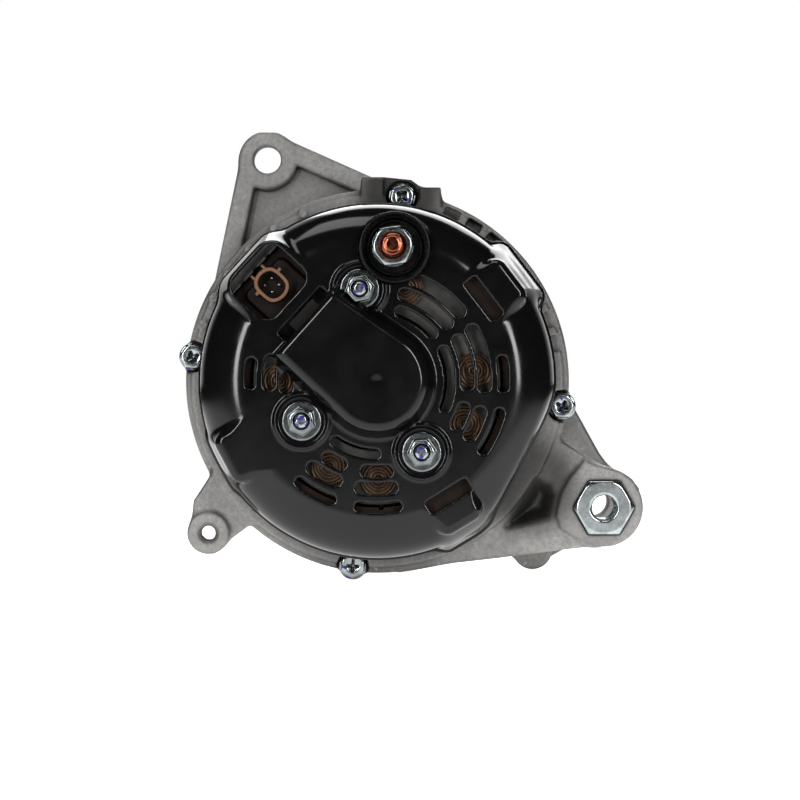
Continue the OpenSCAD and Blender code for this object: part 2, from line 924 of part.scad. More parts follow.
module rear_bearing_balls() {
  color("white")
    depth_frame()
      around(rear_ball_count)
        translate([rear_ball_circle_r, 0, rear_mid_d])
          sphere(r = rear_ball_r);
}

module rear_bearing_cage() {
  color("goldenrod")
    depth_frame()
      difference() {
        ring(rear_mid_d - rear_cage_half_w, rear_mid_d + rear_cage_half_w,
          rear_ball_circle_r + cage_half_t, rear_ball_circle_r - cage_half_t);
        around(rear_ball_count)
          ball_pocket(rear_mid_d, rear_ball_r + hair);
      }
}

module rear_bearing_sleeve() {
  color("ivory")
    depth_frame()
      ring(rear_bearing_d - sleeve_overhang, rear_bearing_end_d + sleeve_overhang,
        rear_bearing_r + sleeve_t, rear_bearing_r);
}

// Outside or inside shape of the pressed cover, drawn smaller by the inset
module cover_form(inset) {
  wall = cover_r - inset;
  floor_d = cover_floor_d - inset;
  bend = cover_shoulder_r - inset;
  start = cover_rim_d - rim_overlap - inset;
  disc(start, floor_d - bend, wall);
  disc(start, floor_d, wall - bend);
  translate([0, 0, floor_d - bend])
    rotate_extrude()
      translate([wall - bend, 0])
        intersection() {
          circle(r = bend);
          square([far, far]);
        }
  for (b = bulges)
    bulge(b[0], b[1], b[2], b[3], b[4], inset);
  rotate([0, 0, dome_angle])
    translate([0, 0, start])
      linear_extrude(height = floor_d - start)
        polygon([
          [bulge_in_r, inset - dome_right_w],
          [dome_right_side_r, inset - dome_right_w],
          [dome_right_r - inset, -dome_flat_half_w],
          [dome_left_r - inset, dome_flat_half_w],
          [dome_left_side_r, dome_left_w - inset],
          [bulge_in_r, dome_left_w - inset]
        ]);
}

// Square bulge in the cover wall: direction, radius and half width at the rim and at the floor
module bulge(a, r_low, r_high, half_low, half_high, inset) {
  start = cover_rim_d - rim_overlap - inset;
  low = half_low - inset;
  rotate([0, 0, a])
    intersection() {
      rotate([90, 0, 0])
        translate([0, 0, -low])
          linear_extrude(height = 2 * low)
            polygon([
              [bulge_in_r, start],
              [r_low - inset, start],
              [r_low - inset, bulge_knee_d],
              [r_high - inset, cover_floor_d - bulge_chamfer - inset],
              [r_high - bulge_chamfer - inset, cover_floor_d - inset],
              [bulge_in_r, cover_floor_d - inset]
            ]);
      rotate([90, 0, 90])
        linear_extrude(height = far)
          polygon([
            [-low, start],
            [low, start],
            [low, bulge_knee_d],
            [half_high - inset, cover_floor_d - inset],
            [inset - half_high, cover_floor_d - inset],
            [-low, bulge_knee_d]
          ]);
    }
}

module plateau_form(inset) {
  r = plateau_r - inset;
  floor_d = inner_floor_d - eps;
  disc(floor_d, plateau_d - inset, r);
  plate(floor_d, plateau_d - inset, [
    [-r * 0.92, -r * 0.38],
    [plateau_left_x + inset * 1.5, plateau_left_z + inset * 0.6],
    [plateau_top_x - inset * 0.4, plateau_top_z - inset * 1.5],
    [r * 0.78, r * 0.6],
    [0, 0]
  ]);
}

module cover_solid(inset) {
  intersection() {
    union() {
      cover_form(inset);
      plateau_form(inset);
    }
    rotate([0, 0, lug_cut_angle])
      radial_box(-far, lug_cut_r - inset, far, 0, far);
  }
}

module rear_cover() {
  color("black")
    depth_frame()
      difference() {
        union() {
          cover_solid(0);
          disc(cover_rim_d - 1, cover_rim_d + sheet_t, cover_r + sheet_t);
          at_studs()
            disc(inner_floor_d, cover_floor_d + 1, nut_lip_r);
        }
        cover_solid(sheet_t);
        disc(0, cover_rim_d, far);
        rotate([0, 0, lug_cut_angle])
          radial_box(lug_cut_r + hair, far, far, 0, far);
        cover_cuts();
        at_studs()
          disc(cover_floor_d, far, nut_recess_r);
        at_studs()
          disc(0, far, stud_r + stud_clearance);
      }
}

module cover_slot(r, w, a0, a1) {
  trim = w / 2 / r * radian;
  arc_slot(r, w, a0 + trim, a1 - trim, inner_floor_d - eps, cover_floor_d + sheet_t);
}

module cover_cuts() {
  for (slot = cover_slots)
    cover_slot(slot[0], slot[1], slot[2], slot[3]);
  for (a = square_hole_angles)
    rotate([0, 0, a])
      radial_box(square_hole_in_r, square_hole_out_r, square_hole_half_w, inner_floor_d - eps, far);
  rotate([0, 0, brush_angle])
    radial_box(slit_in_r, slit_out_r, slit_half_w, slit_d, far);
  post(b_cup_x, b_cup_z, b_cup_floor_d - 2, far, b_cup_r + hair);
  rotate([0, 0, brush_angle])
    translate([open_mid_r, 0, bulge_knee_d])
      linear_extrude(height = far)
        opening_outline();
}

module opening_outline() {
  a = open_radial_half - open_corner_r;
  b = open_tangent_half - open_corner_r;
  square([2 * open_radial_half, 2 * b], center = true);
  square([2 * a, 2 * open_tangent_half], center = true);
  for (u = [-1, 1])
    for (v = [-1, 1])
      translate([u * a, v * b])
        circle(r = open_corner_r);
}

module cover_nuts() {
  color("gainsboro")
    depth_frame()
      at_studs()
        difference() {
          union() {
            disc(cover_floor_d, cover_floor_d + nut_flange_t, nut_flange_r);
            hex_bar(small_af, cover_floor_d + nut_flange_t - hair, cover_floor_d + nut_t);
          }
          disc(0, far, stud_r);
        }
}

module rectifier_studs() {
  color("gray")
    depth_frame()
      at_studs()
        disc(stud_start_d, stud_end_d, stud_r);
}

module insulating_bushes() {
  color("saddlebrown")
    depth_frame()
      at_studs()
        ring(sink_neg_d + sink_t, inner_floor_d, spacer_bush_r, stud_r);
}

module sink_sector(r_in, r_out, d0, d1) {
  rotate([0, 0, sink_gap_end])
    rotate_extrude(angle = full_turn + sink_gap_start - sink_gap_end)
      translate([r_in, d0])
        square([r_out - r_in, d1 - d0]);
}

module at_pos_diodes() {
  for (a = pos_diode_angles)
    rotate([0, 0, a])
      translate([pos_diode_r, 0, 0])
        children();
}

module at_neg_diodes() {
  for (a = neg_diode_angles)
    rotate([0, 0, a])
      translate([neg_diode_r, 0, 0])
        children();
}

module negative_heat_sink() {
  color("silver")
    depth_frame()
      difference() {
        union() {
          sink_sector(sink_neg_in_r, sink_neg_r, sink_neg_d, sink_neg_d + sink_t);
          at_studs()
            disc(rear_wall_end_d, sink_neg_d + 1, foot_r);
        }
        at_studs()
          disc(0, far, stud_r);
        at_neg_diodes()
          disc(0, far, diode_r);
        for (a = lead_angles)
          rotate([0, 0, a])
            radial_box(lead_slot_r, far, lead_slot_half_w, 0, far);
      }
}

module positive_heat_sink() {
  color("silver")
    depth_frame()
      difference() {
        union() {
          sink_sector(sink_pos_in_r, sink_pos_r, sink_pos_d, sink_pos_d + sink_t);
          post(b_stud_x, b_stud_z, sink_pos_d, sink_pos_d + sink_t, b_tab_r);
        }
        at_studs()
          disc(0, far, spacer_bush_r);
        at_pos_diodes()
          disc(0, far, diode_r);
        post(b_stud_x, b_stud_z, 0, far, b_stud_r);
      }
}

module negative_diodes() {
  color("sienna")
    depth_frame()
      at_neg_diodes() {
        disc(neg_diode_d, neg_diode_end_d, diode_r);
        disc(neg_diode_end_d - eps, neg_lead_end_d, diode_lead_r);
      }
}

module positive_diodes() {
  color("sienna")
    depth_frame()
      at_pos_diodes() {
        disc(pos_diode_d, pos_diode_end_d, diode_r);
        disc(pos_diode_end_d - eps, pos_lead_end_d, diode_lead_r);
      }
}

module terminal_block() {
  color("saddlebrown")
    depth_frame()
      difference() {
        union() {
          sink_sector(sink_pos_in_r, block_rim_r, block_d, block_d + block_t);
          sink_sector(block_rim_in_r, block_rim_r, block_d, block_rim_end_d);
        }
        at_studs()
          disc(0, far, spacer_bush_r);
        post(b_stud_x, b_stud_z, block_d + block_t - eps, far, b_cup_r + block_gap);
        post(b_stud_x, b_stud_z, 0, far, b_stud_r + 1);
        at_neg_diodes()
          disc(0, far, diode_lead_r + stud_clearance);
      }
}

module b_terminal_stud() {
  color("orange")
    depth_frame()
      translate([b_stud_x, b_stud_z, 0]) {
        disc(sink_pos_d - b_head_t, sink_pos_d, b_head_r);
        disc(sink_pos_d - hair, b_nut_end_d, b_stud_r);
        disc(b_nut_end_d - hair, b_nut_end_d + b_relief_t + hair, b_relief_r);
        disc(b_nut_end_d + b_relief_t, b_stud_end_d - 1, b_stud_r);
        translate([0, 0, b_stud_end_d - 1])
          cylinder(r1 = b_stud_r, r2 = b_tip_r, h = 1);
      }
}

module b_terminal_insulator() {
  color("dimgray")
    depth_frame()
      difference() {
        union() {
          translate([b_cup_x, b_cup_z, 0])
            ring(b_cup_dish_d, b_cup_end_d, b_cup_r, b_cup_r - b_cup_wall);
          post(b_cup_x, b_cup_z, b_cup_dish_d, b_cup_floor_d + b_cup_floor_t, b_cup_r - eps);
          post(b_stud_x, b_stud_z, b_cup_floor_d, b_cup_dish_d + hair, b_stem_r);
        }
        post(b_stud_x, b_stud_z, 0, far, b_stud_r);
      }
}

module b_terminal_washer() {
  color("gainsboro")
    depth_frame()
      translate([b_stud_x, b_stud_z, b_cup_floor_d + b_cup_floor_t])
        ring(0, b_washer_t, b_washer_r, b_stud_r);
}

module b_terminal_nut() {
  color("gainsboro")
    depth_frame()
      translate([b_stud_x, b_stud_z, b_cup_floor_d + b_cup_floor_t + b_washer_t])
        difference() {
          hex_bar(b_nut_af, 0, b_nut_t);
          disc(-eps, far, b_stud_r);
        }
}

module brush_frame() {
  depth_frame()
    rotate([0, 0, brush_angle])
      children();
}

module oval_tube(d0, d1, shrink) {
  a = conn_radial_r - shrink;
  b = conn_tangent_r - shrink;
  translate([conn_r, 0, d0])
    linear_extrude(height = d1 - d0)
      intersection() {
        square([2 * a, 2 * b], center = true);
        circle(r = a + conn_corner);
      }
}

module regulator() {
  color("saddlebrown")
    brush_frame()
      difference() {
        union() {
          radial_box(reg_in_r, reg_out_r, reg_half_w, reg_d, reg_end_d);
          radial_box(reg_in_r + 1, reg_step_out_r, reg_step_half_w, reg_end_d - 1, reg_step_end_d);
          oval_tube(reg_end_d - 1, conn_end_d, 0);
          for (v = [-1, 1])
            translate([0, v * key_spread, 0])
              radial_box(conn_r + conn_radial_r - eps, conn_r + conn_radial_r + key_len, eps,
                reg_end_d - 1, conn_end_d);
          for (v = [-1, 1])
            translate([0, v * (conn_tangent_r + eps), 0])
              radial_box(conn_r + 1, conn_r + 2, side_key_half_w, reg_end_d - 1, conn_end_d);
        }
        oval_tube(conn_floor_d, far, conn_wall);
        pin_spots()
          radial_box(-pin_half_w, pin_half_w, pin_half_w, 0, far);
      }
}

module pin_spots() {
  for (u = [-1, 1])
    for (v = [-1, 1])
      translate([conn_r + u * pin_spread, v * pin_spread, 0])
        children();
}

module connector_pins() {
  color("gold")
    brush_frame()
      pin_spots()
        radial_box(-pin_half_w, pin_half_w, pin_half_w, pin_d, pin_end_d);
}

module regulator_fin() {
  color("silver")
    brush_frame() {
      radial_box(reg_in_r - 1, reg_out_r + 1, reg_half_w, reg_d - fin_plate_t, reg_d);
      for (v = [-1.5, -0.5, 0.5, 1.5])
        translate([0, v * fin_pitch, 0])
          radial_box(reg_out_r, reg_out_r + 1, fin_half_w, reg_d - 2, fin_end_d);
    }
}

module brush_holder() {
  color("saddlebrown")
    brush_frame()
      difference() {
        radial_box(holder_in_r, holder_out_r, holder_half_w, holder_d, holder_end_d);
        for (d = [brush_front_ring_d, brush_rear_ring_d])
          radial_box(0, spring_out_r, brush_w / 2 + channel_gap,
            d - brush_t / 2 - channel_gap, d + brush_t / 2 + channel_gap);
      }
}

module slip_ring_cover() {
  color("dimgray")
    depth_frame()
      difference() {
        ring(ring_cover_d, ring_cover_end_d, ring_cover_r, ring_cover_in_r);
        rotate([0, 0, brush_angle])
          radial_box(0, far, holder_half_w + hair, holder_d - hair, holder_end_d + hair);
      }
}

module brush_at(d) {
  brush_frame()
    radial_box(brush_inner_r, spring_in_r, brush_w / 2, d - brush_t / 2, d + brush_t / 2);
}

module brush_1() {
  color("darkslategray")
    brush_at(brush_front_ring_d);
}

module brush_2() {
  color("darkslategray")
    brush_at(brush_rear_ring_d);
}

function coil_point(i, k) =
  let (t = i / (spring_turns * spring_steps))
  let (a = i * full_turn / spring_steps)
  let (b = k * quarter_turn)
  let (rr = spring_r + spring_wire_r * cos(b))
  [
    spring_in_r + spring_wire_r + hair + t * (spring_out_r - spring_in_r - 2 * spring_wire_r - 2 * hair)
      + spring_wire_r * sin(b),
    rr * cos(a),
    rr * sin(a)
  ];

module spring_at(d) {
  rows = spring_turns * spring_steps;
  points = [for (i = [0 : rows]) for (k = [0 : 3]) coil_point(i, k)];
  sides = [for (i = [0 : rows - 1]) for (k = [0 : 3])
    [i * 4 + k, i * 4 + (k + 1) % 4, i * 4 + 4 + (k + 1) % 4, i * 4 + 4 + k]];
  brush_frame()
    translate([0, 0, d])
      polyhedron(points = points, faces = concat([[3, 2, 1, 0]], sides,
        [[rows * 4, rows * 4 + 1, rows * 4 + 2, rows * 4 + 3]]), convexity = 10);
}

module brush_spring_1() {
  color("lightgray")
    spring_at(brush_front_ring_d);
}

module brush_spring_2() {
  color("lightgray")
    spring_at(brush_rear_ring_d);
}

module rotor_shaft() {
  color("lightgray")
    depth_frame() {
      disc(shaft_front_d, front_bearing_end_d, shaft_r);
      disc(front_bearing_end_d, shaft_step_d, shaft_mid_r);
      disc(shaft_step_d - 1, rear_bearing_end_d + 1, shaft_rear_r);
      disc(rear_bearing_end_d, shaft_end_d, shaft_tail_r);
    }
}

module claw_prism(d_root, d_tip) {
  rotate([90, 0, 90])
    linear_extrude(height = far)
      polygon([
        [-claw_root_half_w, d_root],
        [claw_root_half_w, d_root],
        [claw_tip_half_w, d_tip],
        [-claw_tip_half_w, d_tip]
      ]);
}

// One pole piece: web disc, hub and claws. Depths: outer face, inner face, claw tips and hub end
module claw_pole(d_out, d_in, d_tip, first) {
  near = min(d_out, d_in);
  deep = max(d_out, d_in);
  difference() {
    union() {
      disc(near, deep, claw_in_r - eps);
      intersection() {
        ring(near, deep, rotor_r, claw_in_r - 3 * eps);
        around(claw_count, first)
          claw_prism(d_out, d_tip);
      }
      disc(min(d_in, rotor_mid_d), max(d_in, rotor_mid_d), hub_r);
      intersection() {
        ring(min(d_out, d_tip), max(d_out, d_tip), rotor_r, claw_in_r);
        around(claw_count, first)
          claw_prism(d_out, d_tip);
      }
    }
    disc(-far, far, shaft_mid_r);
  }
}

module front_claw_pole() {
  color("slategray")
    depth_frame()
      claw_pole(rotor_front_d, rotor_front_d + claw_web_t, rotor_rear_d - claw_tip_gap, 0);
}

module rear_claw_pole() {
  color("slategray")
    depth_frame()
      claw_pole(rotor_rear_d, rotor_rear_d - claw_web_t, rotor_front_d + claw_tip_gap,
        full_turn / claw_count / 2);
}

module coil_bobbin() {
  a = rotor_front_d + claw_web_t;
  b = rotor_rear_d - claw_web_t;
  color("ivory")
    depth_frame() {
      ring(a, b, hub_r + bobbin_t, hub_r);
      ring(a, a + bobbin_t, coil_r + 1, hub_r);
      ring(b - bobbin_t, b, coil_r + 1, hub_r);
    }
}

module field_coil() {
  a = rotor_front_d + claw_web_t + bobbin_t;
  b = rotor_rear_d - claw_web_t - bobbin_t;
  color("chocolate")
    depth_frame()
      ring(a, b, coil_r, hub_r + bobbin_t);
}

module fan(plate_d, blade_end_d) {
  near = min(plate_d, blade_end_d);
  ring(plate_d, plate_d + fan_t, fan_r, fan_in_r);
  around(fan_blades)
    translate([fan_blade_r, 0, 0])
      rotate([0, 0, fan_blade_turn])
        radial_box(-fan_blade_half_len, fan_blade_half_len, fan_t / 2, near,
          max(plate_d + fan_t, blade_end_d));
}

module front_fan() {
  color("silver")
    depth_frame()
      fan(rotor_front_d - fan_t, rotor_front_d - fan_t - fan_blade_len);
}

module rear_fan() {
  color("silver")
    depth_frame()
      fan(rotor_rear_d, rotor_rear_d + fan_t + fan_blade_len);
}

module slip_rings() {
  color("orange")
    depth_frame()
      for (d = [brush_front_ring_d, brush_rear_ring_d])
        ring(d - ring_w / 2, d + ring_w / 2, slip_ring_r, ring_in_r);
}

module slip_ring_sleeve() {
  color("dimgray")
    depth_frame()
      difference() {
        union() {
          disc(sleeve_d, sleeve_end_d, ring_in_r);
          disc(sleeve_d, brush_front_ring_d - ring_w / 2, ring_in_r + 1);
          disc(brush_front_ring_d + ring_w / 2, brush_rear_ring_d - ring_w / 2, ring_in_r + 1);
        }
        disc(0, far, shaft_tail_r);
      }
}

module bearing_spacer() {
  color("lightgray")
    depth_frame()
      ring(front_bearing_end_d, rotor_front_d, bearing_spacer_r, shaft_mid_r);
}

module pulley_spacer() {
  color("lightgray")
    depth_frame()
      ring(pulley_end_d, front_bearing_d, pulley_spacer_r, shaft_r);
}

module pulley() {
  root_r = pulley_r - pulley_groove_h;
  hub_d = pulley_end_d - pulley_hub_t;
  color("darkslategray")
    depth_frame() {
      difference() {
        union() {
          disc(pulley_d, pulley_d + pulley_flange_t, pulley_r + pulley_flange_h);
          disc(pulley_d, pulley_end_d, root_r);
          disc(pulley_end_d - pulley_flange_t, pulley_end_d, pulley_r + pulley_flange_h);
          for (i = [0 : pulley_groove_count])
            pulley_rib(pulley_d + pulley_flange_t + pulley_rib_inset + i * pulley_pitch, root_r - 1);
        }
        disc(-far, pulley_d + pulley_dish_t, pulley_dish_r);
        disc(-far, far, shaft_r);
        disc(hub_d + eps, far, pulley_dish_r + 1);
      }
      ring(hub_d, pulley_end_d, pulley_hub_r, shaft_r);
    }
}

module pulley_rib(d, foot_in_r) {
  translate([0, 0, d])
    rotate_extrude()
      polygon([
        [foot_in_r, -rib_foot_half_w],
        [pulley_r, -rib_tip_half_w],
        [pulley_r, rib_tip_half_w],
        [foot_in_r, rib_foot_half_w]
      ]);
}

module pulley_nut() {
  color("gainsboro")
    depth_frame()
      difference() {
        union() {
          disc(pulley_nut_d - pulley_nut_flange_t, pulley_nut_d, pulley_nut_flange_r);
          hex_bar(pulley_nut_af, pulley_nut_d - pulley_nut_t, pulley_nut_d - pulley_nut_flange_t + hair);
        }
        disc(-far, far, shaft_r);
      }
}

front_housing();
rear_housing();
rear_cover();
stator_core();
stator_winding();
stator_leads();
through_bolts();
bearing_retainer();
retainer_screws();
front_bearing_outer();
front_bearing_shields();
rear_bearing_outer();
rear_bearing_shields();
rear_bearing_sleeve();
negative_heat_sink();
positive_heat_sink();
negative_diodes();
positive_diodes();
terminal_block();
insulating_bushes();
rectifier_studs();
cover_nuts();
b_terminal_stud();
b_terminal_washer();
b_terminal_nut();
b_terminal_insulator();
regulator();
connector_pins();
regulator_fin();
brush_holder();
slip_ring_cover();
brush_spring_1();
brush_spring_2();
brush_1();
brush_2();
mount_bush();
rotor_shaft();
front_claw_pole();
rear_claw_pole();
coil_bobbin();
field_coil();
front_fan();
rear_fan();
slip_rings();
slip_ring_sleeve();
front_bearing_inner();
rear_bearing_inner();
bearing_spacer();
pulley_spacer();
pulley();
pulley_nut();
front_bearing_balls();
front_bearing_cage();
rear_bearing_balls();
rear_bearing_cage();
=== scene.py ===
import math
import bpy
import numpy as np
from numpy import clip, hypot, maximum, minimum
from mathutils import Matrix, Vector


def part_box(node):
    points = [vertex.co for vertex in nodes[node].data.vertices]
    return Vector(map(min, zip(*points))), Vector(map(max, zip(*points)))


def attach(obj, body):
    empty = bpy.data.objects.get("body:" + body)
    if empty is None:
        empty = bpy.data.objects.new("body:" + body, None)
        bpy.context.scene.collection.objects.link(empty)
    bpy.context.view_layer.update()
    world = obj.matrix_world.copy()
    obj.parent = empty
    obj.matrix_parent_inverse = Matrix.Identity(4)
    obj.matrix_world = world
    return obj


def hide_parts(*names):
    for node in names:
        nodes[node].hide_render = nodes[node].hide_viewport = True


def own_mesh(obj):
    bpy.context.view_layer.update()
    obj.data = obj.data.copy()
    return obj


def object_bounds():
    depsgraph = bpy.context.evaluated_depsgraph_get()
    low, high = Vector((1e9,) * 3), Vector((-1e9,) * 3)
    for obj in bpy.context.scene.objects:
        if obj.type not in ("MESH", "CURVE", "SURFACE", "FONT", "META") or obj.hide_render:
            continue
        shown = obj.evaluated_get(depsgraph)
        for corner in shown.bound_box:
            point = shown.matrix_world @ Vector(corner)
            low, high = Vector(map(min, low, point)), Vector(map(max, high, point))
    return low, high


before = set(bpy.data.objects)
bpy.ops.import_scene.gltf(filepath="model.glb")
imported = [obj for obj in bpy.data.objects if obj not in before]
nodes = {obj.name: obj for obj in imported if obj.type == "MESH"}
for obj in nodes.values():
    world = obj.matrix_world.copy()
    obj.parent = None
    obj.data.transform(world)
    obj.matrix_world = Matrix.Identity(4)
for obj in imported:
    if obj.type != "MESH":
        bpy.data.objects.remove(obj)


def box_lists(corners):
    return [list(map(float, c)) for c in corners]


cad_box = box_lists(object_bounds())
MM = 0.001

# --- Sizes in millimetres: x to the right, z up, d the depth behind the mounting plane ---


def node_box(name):
    """Lowest and highest x, z and depth of a CAD node, in millimetres."""
    low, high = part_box(name)
    return (low.x / MM, low.z / MM, -high.y / MM), (high.x / MM, high.z / MM, -low.y / MM)


def node_depths(name):
    low, high = node_box(name)
    return low[2], high[2]


def node_centre(name):
    low, high = node_box(name)
    return (low[0] + high[0]) / 2, (low[1] + high[1]) / 2


RIM_D, PLATEAU_D = node_depths("rear_cover")
PLATEAU_H = 7.0
FLOOR_D = PLATEAU_D - PLATEAU_H
COVER_R = 62.0
SHOULDER_R = 15.5
SHEET = 1.5
PLUG_ANGLE = 137.5
LUG_CUT_ANGLE = -27.0
LUG_CUT_R = 58.0
UPPER_EAR = (-41.9, 83.6)
LUG = node_centre("mount_bush")
SMALL_EAR = (-60.3, -54.1)
B_STUD = node_centre("b_terminal_stud")
B_CUP = node_centre("b_terminal_insulator")
STUDS = ((-5.9, 31.9), (-26.0, -13.8), (15.6, -24.6))
BOLT_R = 66.5
BOLT_ANGLES = tuple(82.4 + 90 * i for i in range(4))


# --- Distance fields: coordinate arrays in millimetres, negative inside the shape ---


def join(a, b, k):
    """Two shapes joined, with a blend about k wide."""
    h = clip(0.5 + 0.5 * (b - a) / k, 0, 1)
    return b + (a - b) * h - k * h * (1 - h)


def trim(a, b, k):
    """The overlap of two shapes, with a blend about k wide."""
    return -join(-a, -b, k)


def rounded(a, b, r):
    """The overlap of two shapes, with the edge between them rounded."""
    qa = a + r
    qb = b + r
    return minimum(maximum(qa, qb), 0) + hypot(maximum(qa, 0), maximum(qb, 0)) - r


def slab(t, low, high):
    """The layer between two values of one coordinate."""
    return np.abs(t - (low + high) / 2) - (high - low) / 2


def disc(x, z, centre, r):
    return hypot(x - centre[0], z - centre[1]) - r


def turned(x, z, angle):
    """Coordinates outwards along an angle and around from it."""
    a = math.radians(angle)
    return x * math.cos(a) + z * math.sin(a), z * math.cos(a) - x * math.sin(a)


def flat_box(u, v, low, high, r=0.0):
    """A rectangle with rounded corners, from its low and high (u, v) corners."""
    return rounded(slab(u, low[0], high[0]), slab(v, low[1], high[1]), r)


def arc_band(x, z, radius, width, start, end):
    """A slot with round ends that follows a circle around the shaft."""
    half = math.radians(end - start) / 2 - width / 2 / radius
    u, v = turned(x, z, (start + end) / 2)
    v = np.abs(v)
    along = np.arctan2(v, u) <= half
    tip = hypot(u - radius * math.cos(half), v - radius * math.sin(half))
    return np.where(along, np.abs(hypot(u, v) - radius), tip) - width / 2


FAR = 1e9
TINY_RUN = 1e-9


def outline(x, z, points):
    """Signed distance to a closed polygon."""
    best = np.full(x.shape, FAR, np.float32)
    inside = np.zeros(x.shape, bool)
    for (ax, az), (bx, bz) in zip(points, points[1:] + points[:1]):
        ex, ez = bx - ax, bz - az
        px, pz = x - ax, z - az
        t = clip((px * ex + pz * ez) / (ex * ex + ez * ez), 0, 1)
        best = minimum(best, hypot(px - ex * t, pz - ez * t))
        crosses = ((az > z) != (bz > z)) & (x < (bx - ax) * (z - az) / ((bz - az) or TINY_RUN) + ax)
        inside ^= crosses
    return np.where(inside, -best, best)


def hexagon(x, z, centre, across_flats):
    far = None
    for angle in (30, 90, 150):
        u, _ = turned(x - centre[0], z - centre[1], angle)
        side = np.abs(u) - across_flats / 2
        far = side if far is None else maximum(far, side)
    return far


def stack(shape, d, layers):
    """Joins layers to a shape. Each is a flat shape, its low and high depth, edge radius and blend."""
    for flat, low, high, edge, blend in layers:
        shape = join(shape, rounded(flat, slab(d, low, high), edge), blend)
    return shape


def from_bolt(x, z):
    """Distance from the axis of the nearest through bolt."""
    return minimum.reduce([
        hypot(u - BOLT_R, v) for u, v in (turned(x, z, angle) for angle in BOLT_ANGLES)
    ])


def ring_repeat(x, z, count, first):
    """Folds the plane into one of count equal sectors: outwards and around coordinates."""
    pitch = 2 * math.pi / count
    angle = np.arctan2(z, x) - math.radians(first)
    angle = (angle + pitch / 2) % pitch - pitch / 2
    rho = hypot(x, z)
    return rho * np.cos(angle), rho * np.sin(angle)


# --- Turning a distance field into a mesh ---

CORNERS = np.array([(i, j, k) for i in (0, 1) for j in (0, 1) for k in (0, 1)])
BLOCK = 6  # grid cells along a block's side
BLOCK_REACH = 1.25  # how many block sides from the surface a block is sampled in full
CHUNK = 400000  # points sampled at a time
SETTLE_PASSES = 2
SLOPE_STEP = 0.02
LEAST_SLOPE = 0.25  # of the slope's square


def sample(field, points):
    out = np.empty(len(points), np.float32)
    for i in range(0, len(points), CHUNK):
        part = points[i:i + CHUNK]
        out[i:i + CHUNK] = field(part[:, 0], part[:, 1], part[:, 2])
    return out


def field_grid(field, low, step, shape):
    """Values of a field on a grid. Blocks far from the surface get one value each."""
    blocks = tuple(-(-n // BLOCK) for n in shape)
    index = np.indices(blocks).reshape(3, -1).T
    centres = low + (index + 0.5) * BLOCK * step
    coarse = sample(field, centres.astype(np.float32))
    grid = np.repeat(np.repeat(np.repeat(coarse.reshape(blocks), BLOCK, 0), BLOCK, 1), BLOCK, 2)
    grid = np.ascontiguousarray(grid[:shape[0], :shape[1], :shape[2]])
    near = np.abs(coarse) < BLOCK * step * BLOCK_REACH
    wanted = np.zeros(shape, bool)
    for i, j, k in index[near] * BLOCK:
        wanted[i:i + BLOCK + 1, j:j + BLOCK + 1, k:k + BLOCK + 1] = True
    spots = np.argwhere(wanted)
    grid[wanted] = sample(field, (low + spots * step).astype(np.float32))
    return grid


def surface_net(field, low, high, step):
    """Vertices and quads on the zero surface of a field."""
    low = np.array(low, float) - 2 * step
    shape = tuple(int(math.ceil((h - b) / step)) + 3 for b, h in zip(low, high))
    grid = field_grid(field, low, step, shape)
    inside = grid < 0
    cells = tuple(n - 1 for n in shape)
    count = np.zeros(cells, np.int8)
    for i, j, k in CORNERS:
        count += inside[i:i + cells[0], j:j + cells[1], k:k + cells[2]]
    active = (count > 0) & (count < 8)
    where = np.argwhere(active)
    number = np.full(cells, -1, np.int32)
    number[active] = np.arange(len(where))
    values = np.stack([grid[tuple((where + c).T)] for c in CORNERS], 1)
    total = np.zeros((len(where), 3))
    hits = np.zeros(len(where))
    for a in range(8):
        for b in range(a + 1, 8):
            if np.abs(CORNERS[a] - CORNERS[b]).sum() != 1:
                continue
            va, vb = values[:, a], values[:, b]
            cross = (va < 0) != (vb < 0)
            t = np.where(cross, va / np.where(cross, va - vb, 1), 0)
            spot = CORNERS[a] + t[:, None] * (CORNERS[b] - CORNERS[a])
            total += np.where(cross[:, None], spot, 0)
            hits += cross
    points = low + (where + total / hits[:, None]) * step
    quads = []
    for axis in range(3):
        u, v = (axis + 1) % 3, (axis + 2) % 3
        lower = [slice(1, n - 1) for n in shape]
        upper = list(lower)
        lower[axis] = slice(0, shape[axis] - 1)
        upper[axis] = slice(1, shape[axis])
        change = inside[tuple(lower)] != inside[tuple(upper)]
        at = np.argwhere(change)
        at[:, u] += 1
        at[:, v] += 1
        ring = []
        for du, dv in ((1, 1), (0, 1), (0, 0), (1, 0)):
            cell = at.copy()
            cell[:, u] -= du
            cell[:, v] -= dv
            ring.append(number[tuple(cell.T)])
        faces = np.stack(ring, 1)
        flip = ~inside[tuple(at.T)]
        faces[flip] = faces[flip][:, ::-1]
        quads.append(faces)
    for _ in range(SETTLE_PASSES):
        points = settle(field, points, step)
    return points, np.concatenate(quads)


def settle(field, points, step):
    """Moves points along the field's slope onto its zero surface."""
    value = sample(field, points.astype(np.float32)).astype(float)
    slope = np.empty_like(points)
    for axis in range(3):
        shifted = points.copy()
        shifted[:, axis] += SLOPE_STEP
        slope[:, axis] = (sample(field, shifted.astype(np.float32)) - value) / SLOPE_STEP
    size = maximum((slope ** 2).sum(1), LEAST_SLOPE)
    move = clip(value / size, -step * 0.5, step * 0.5)
    return points - slope * move[:, None]


def to_frame(points):
    """From x, z, depth in millimetres to the part's frame in metres."""
    points = np.asarray(points, float)
    return np.stack([points[:, 0], -points[:, 2], points[:, 1]], 1) * MM


def new_object(name, data):
    obj = bpy.data.objects.new(name, data)
    bpy.context.scene.collection.objects.link(obj)
    return obj


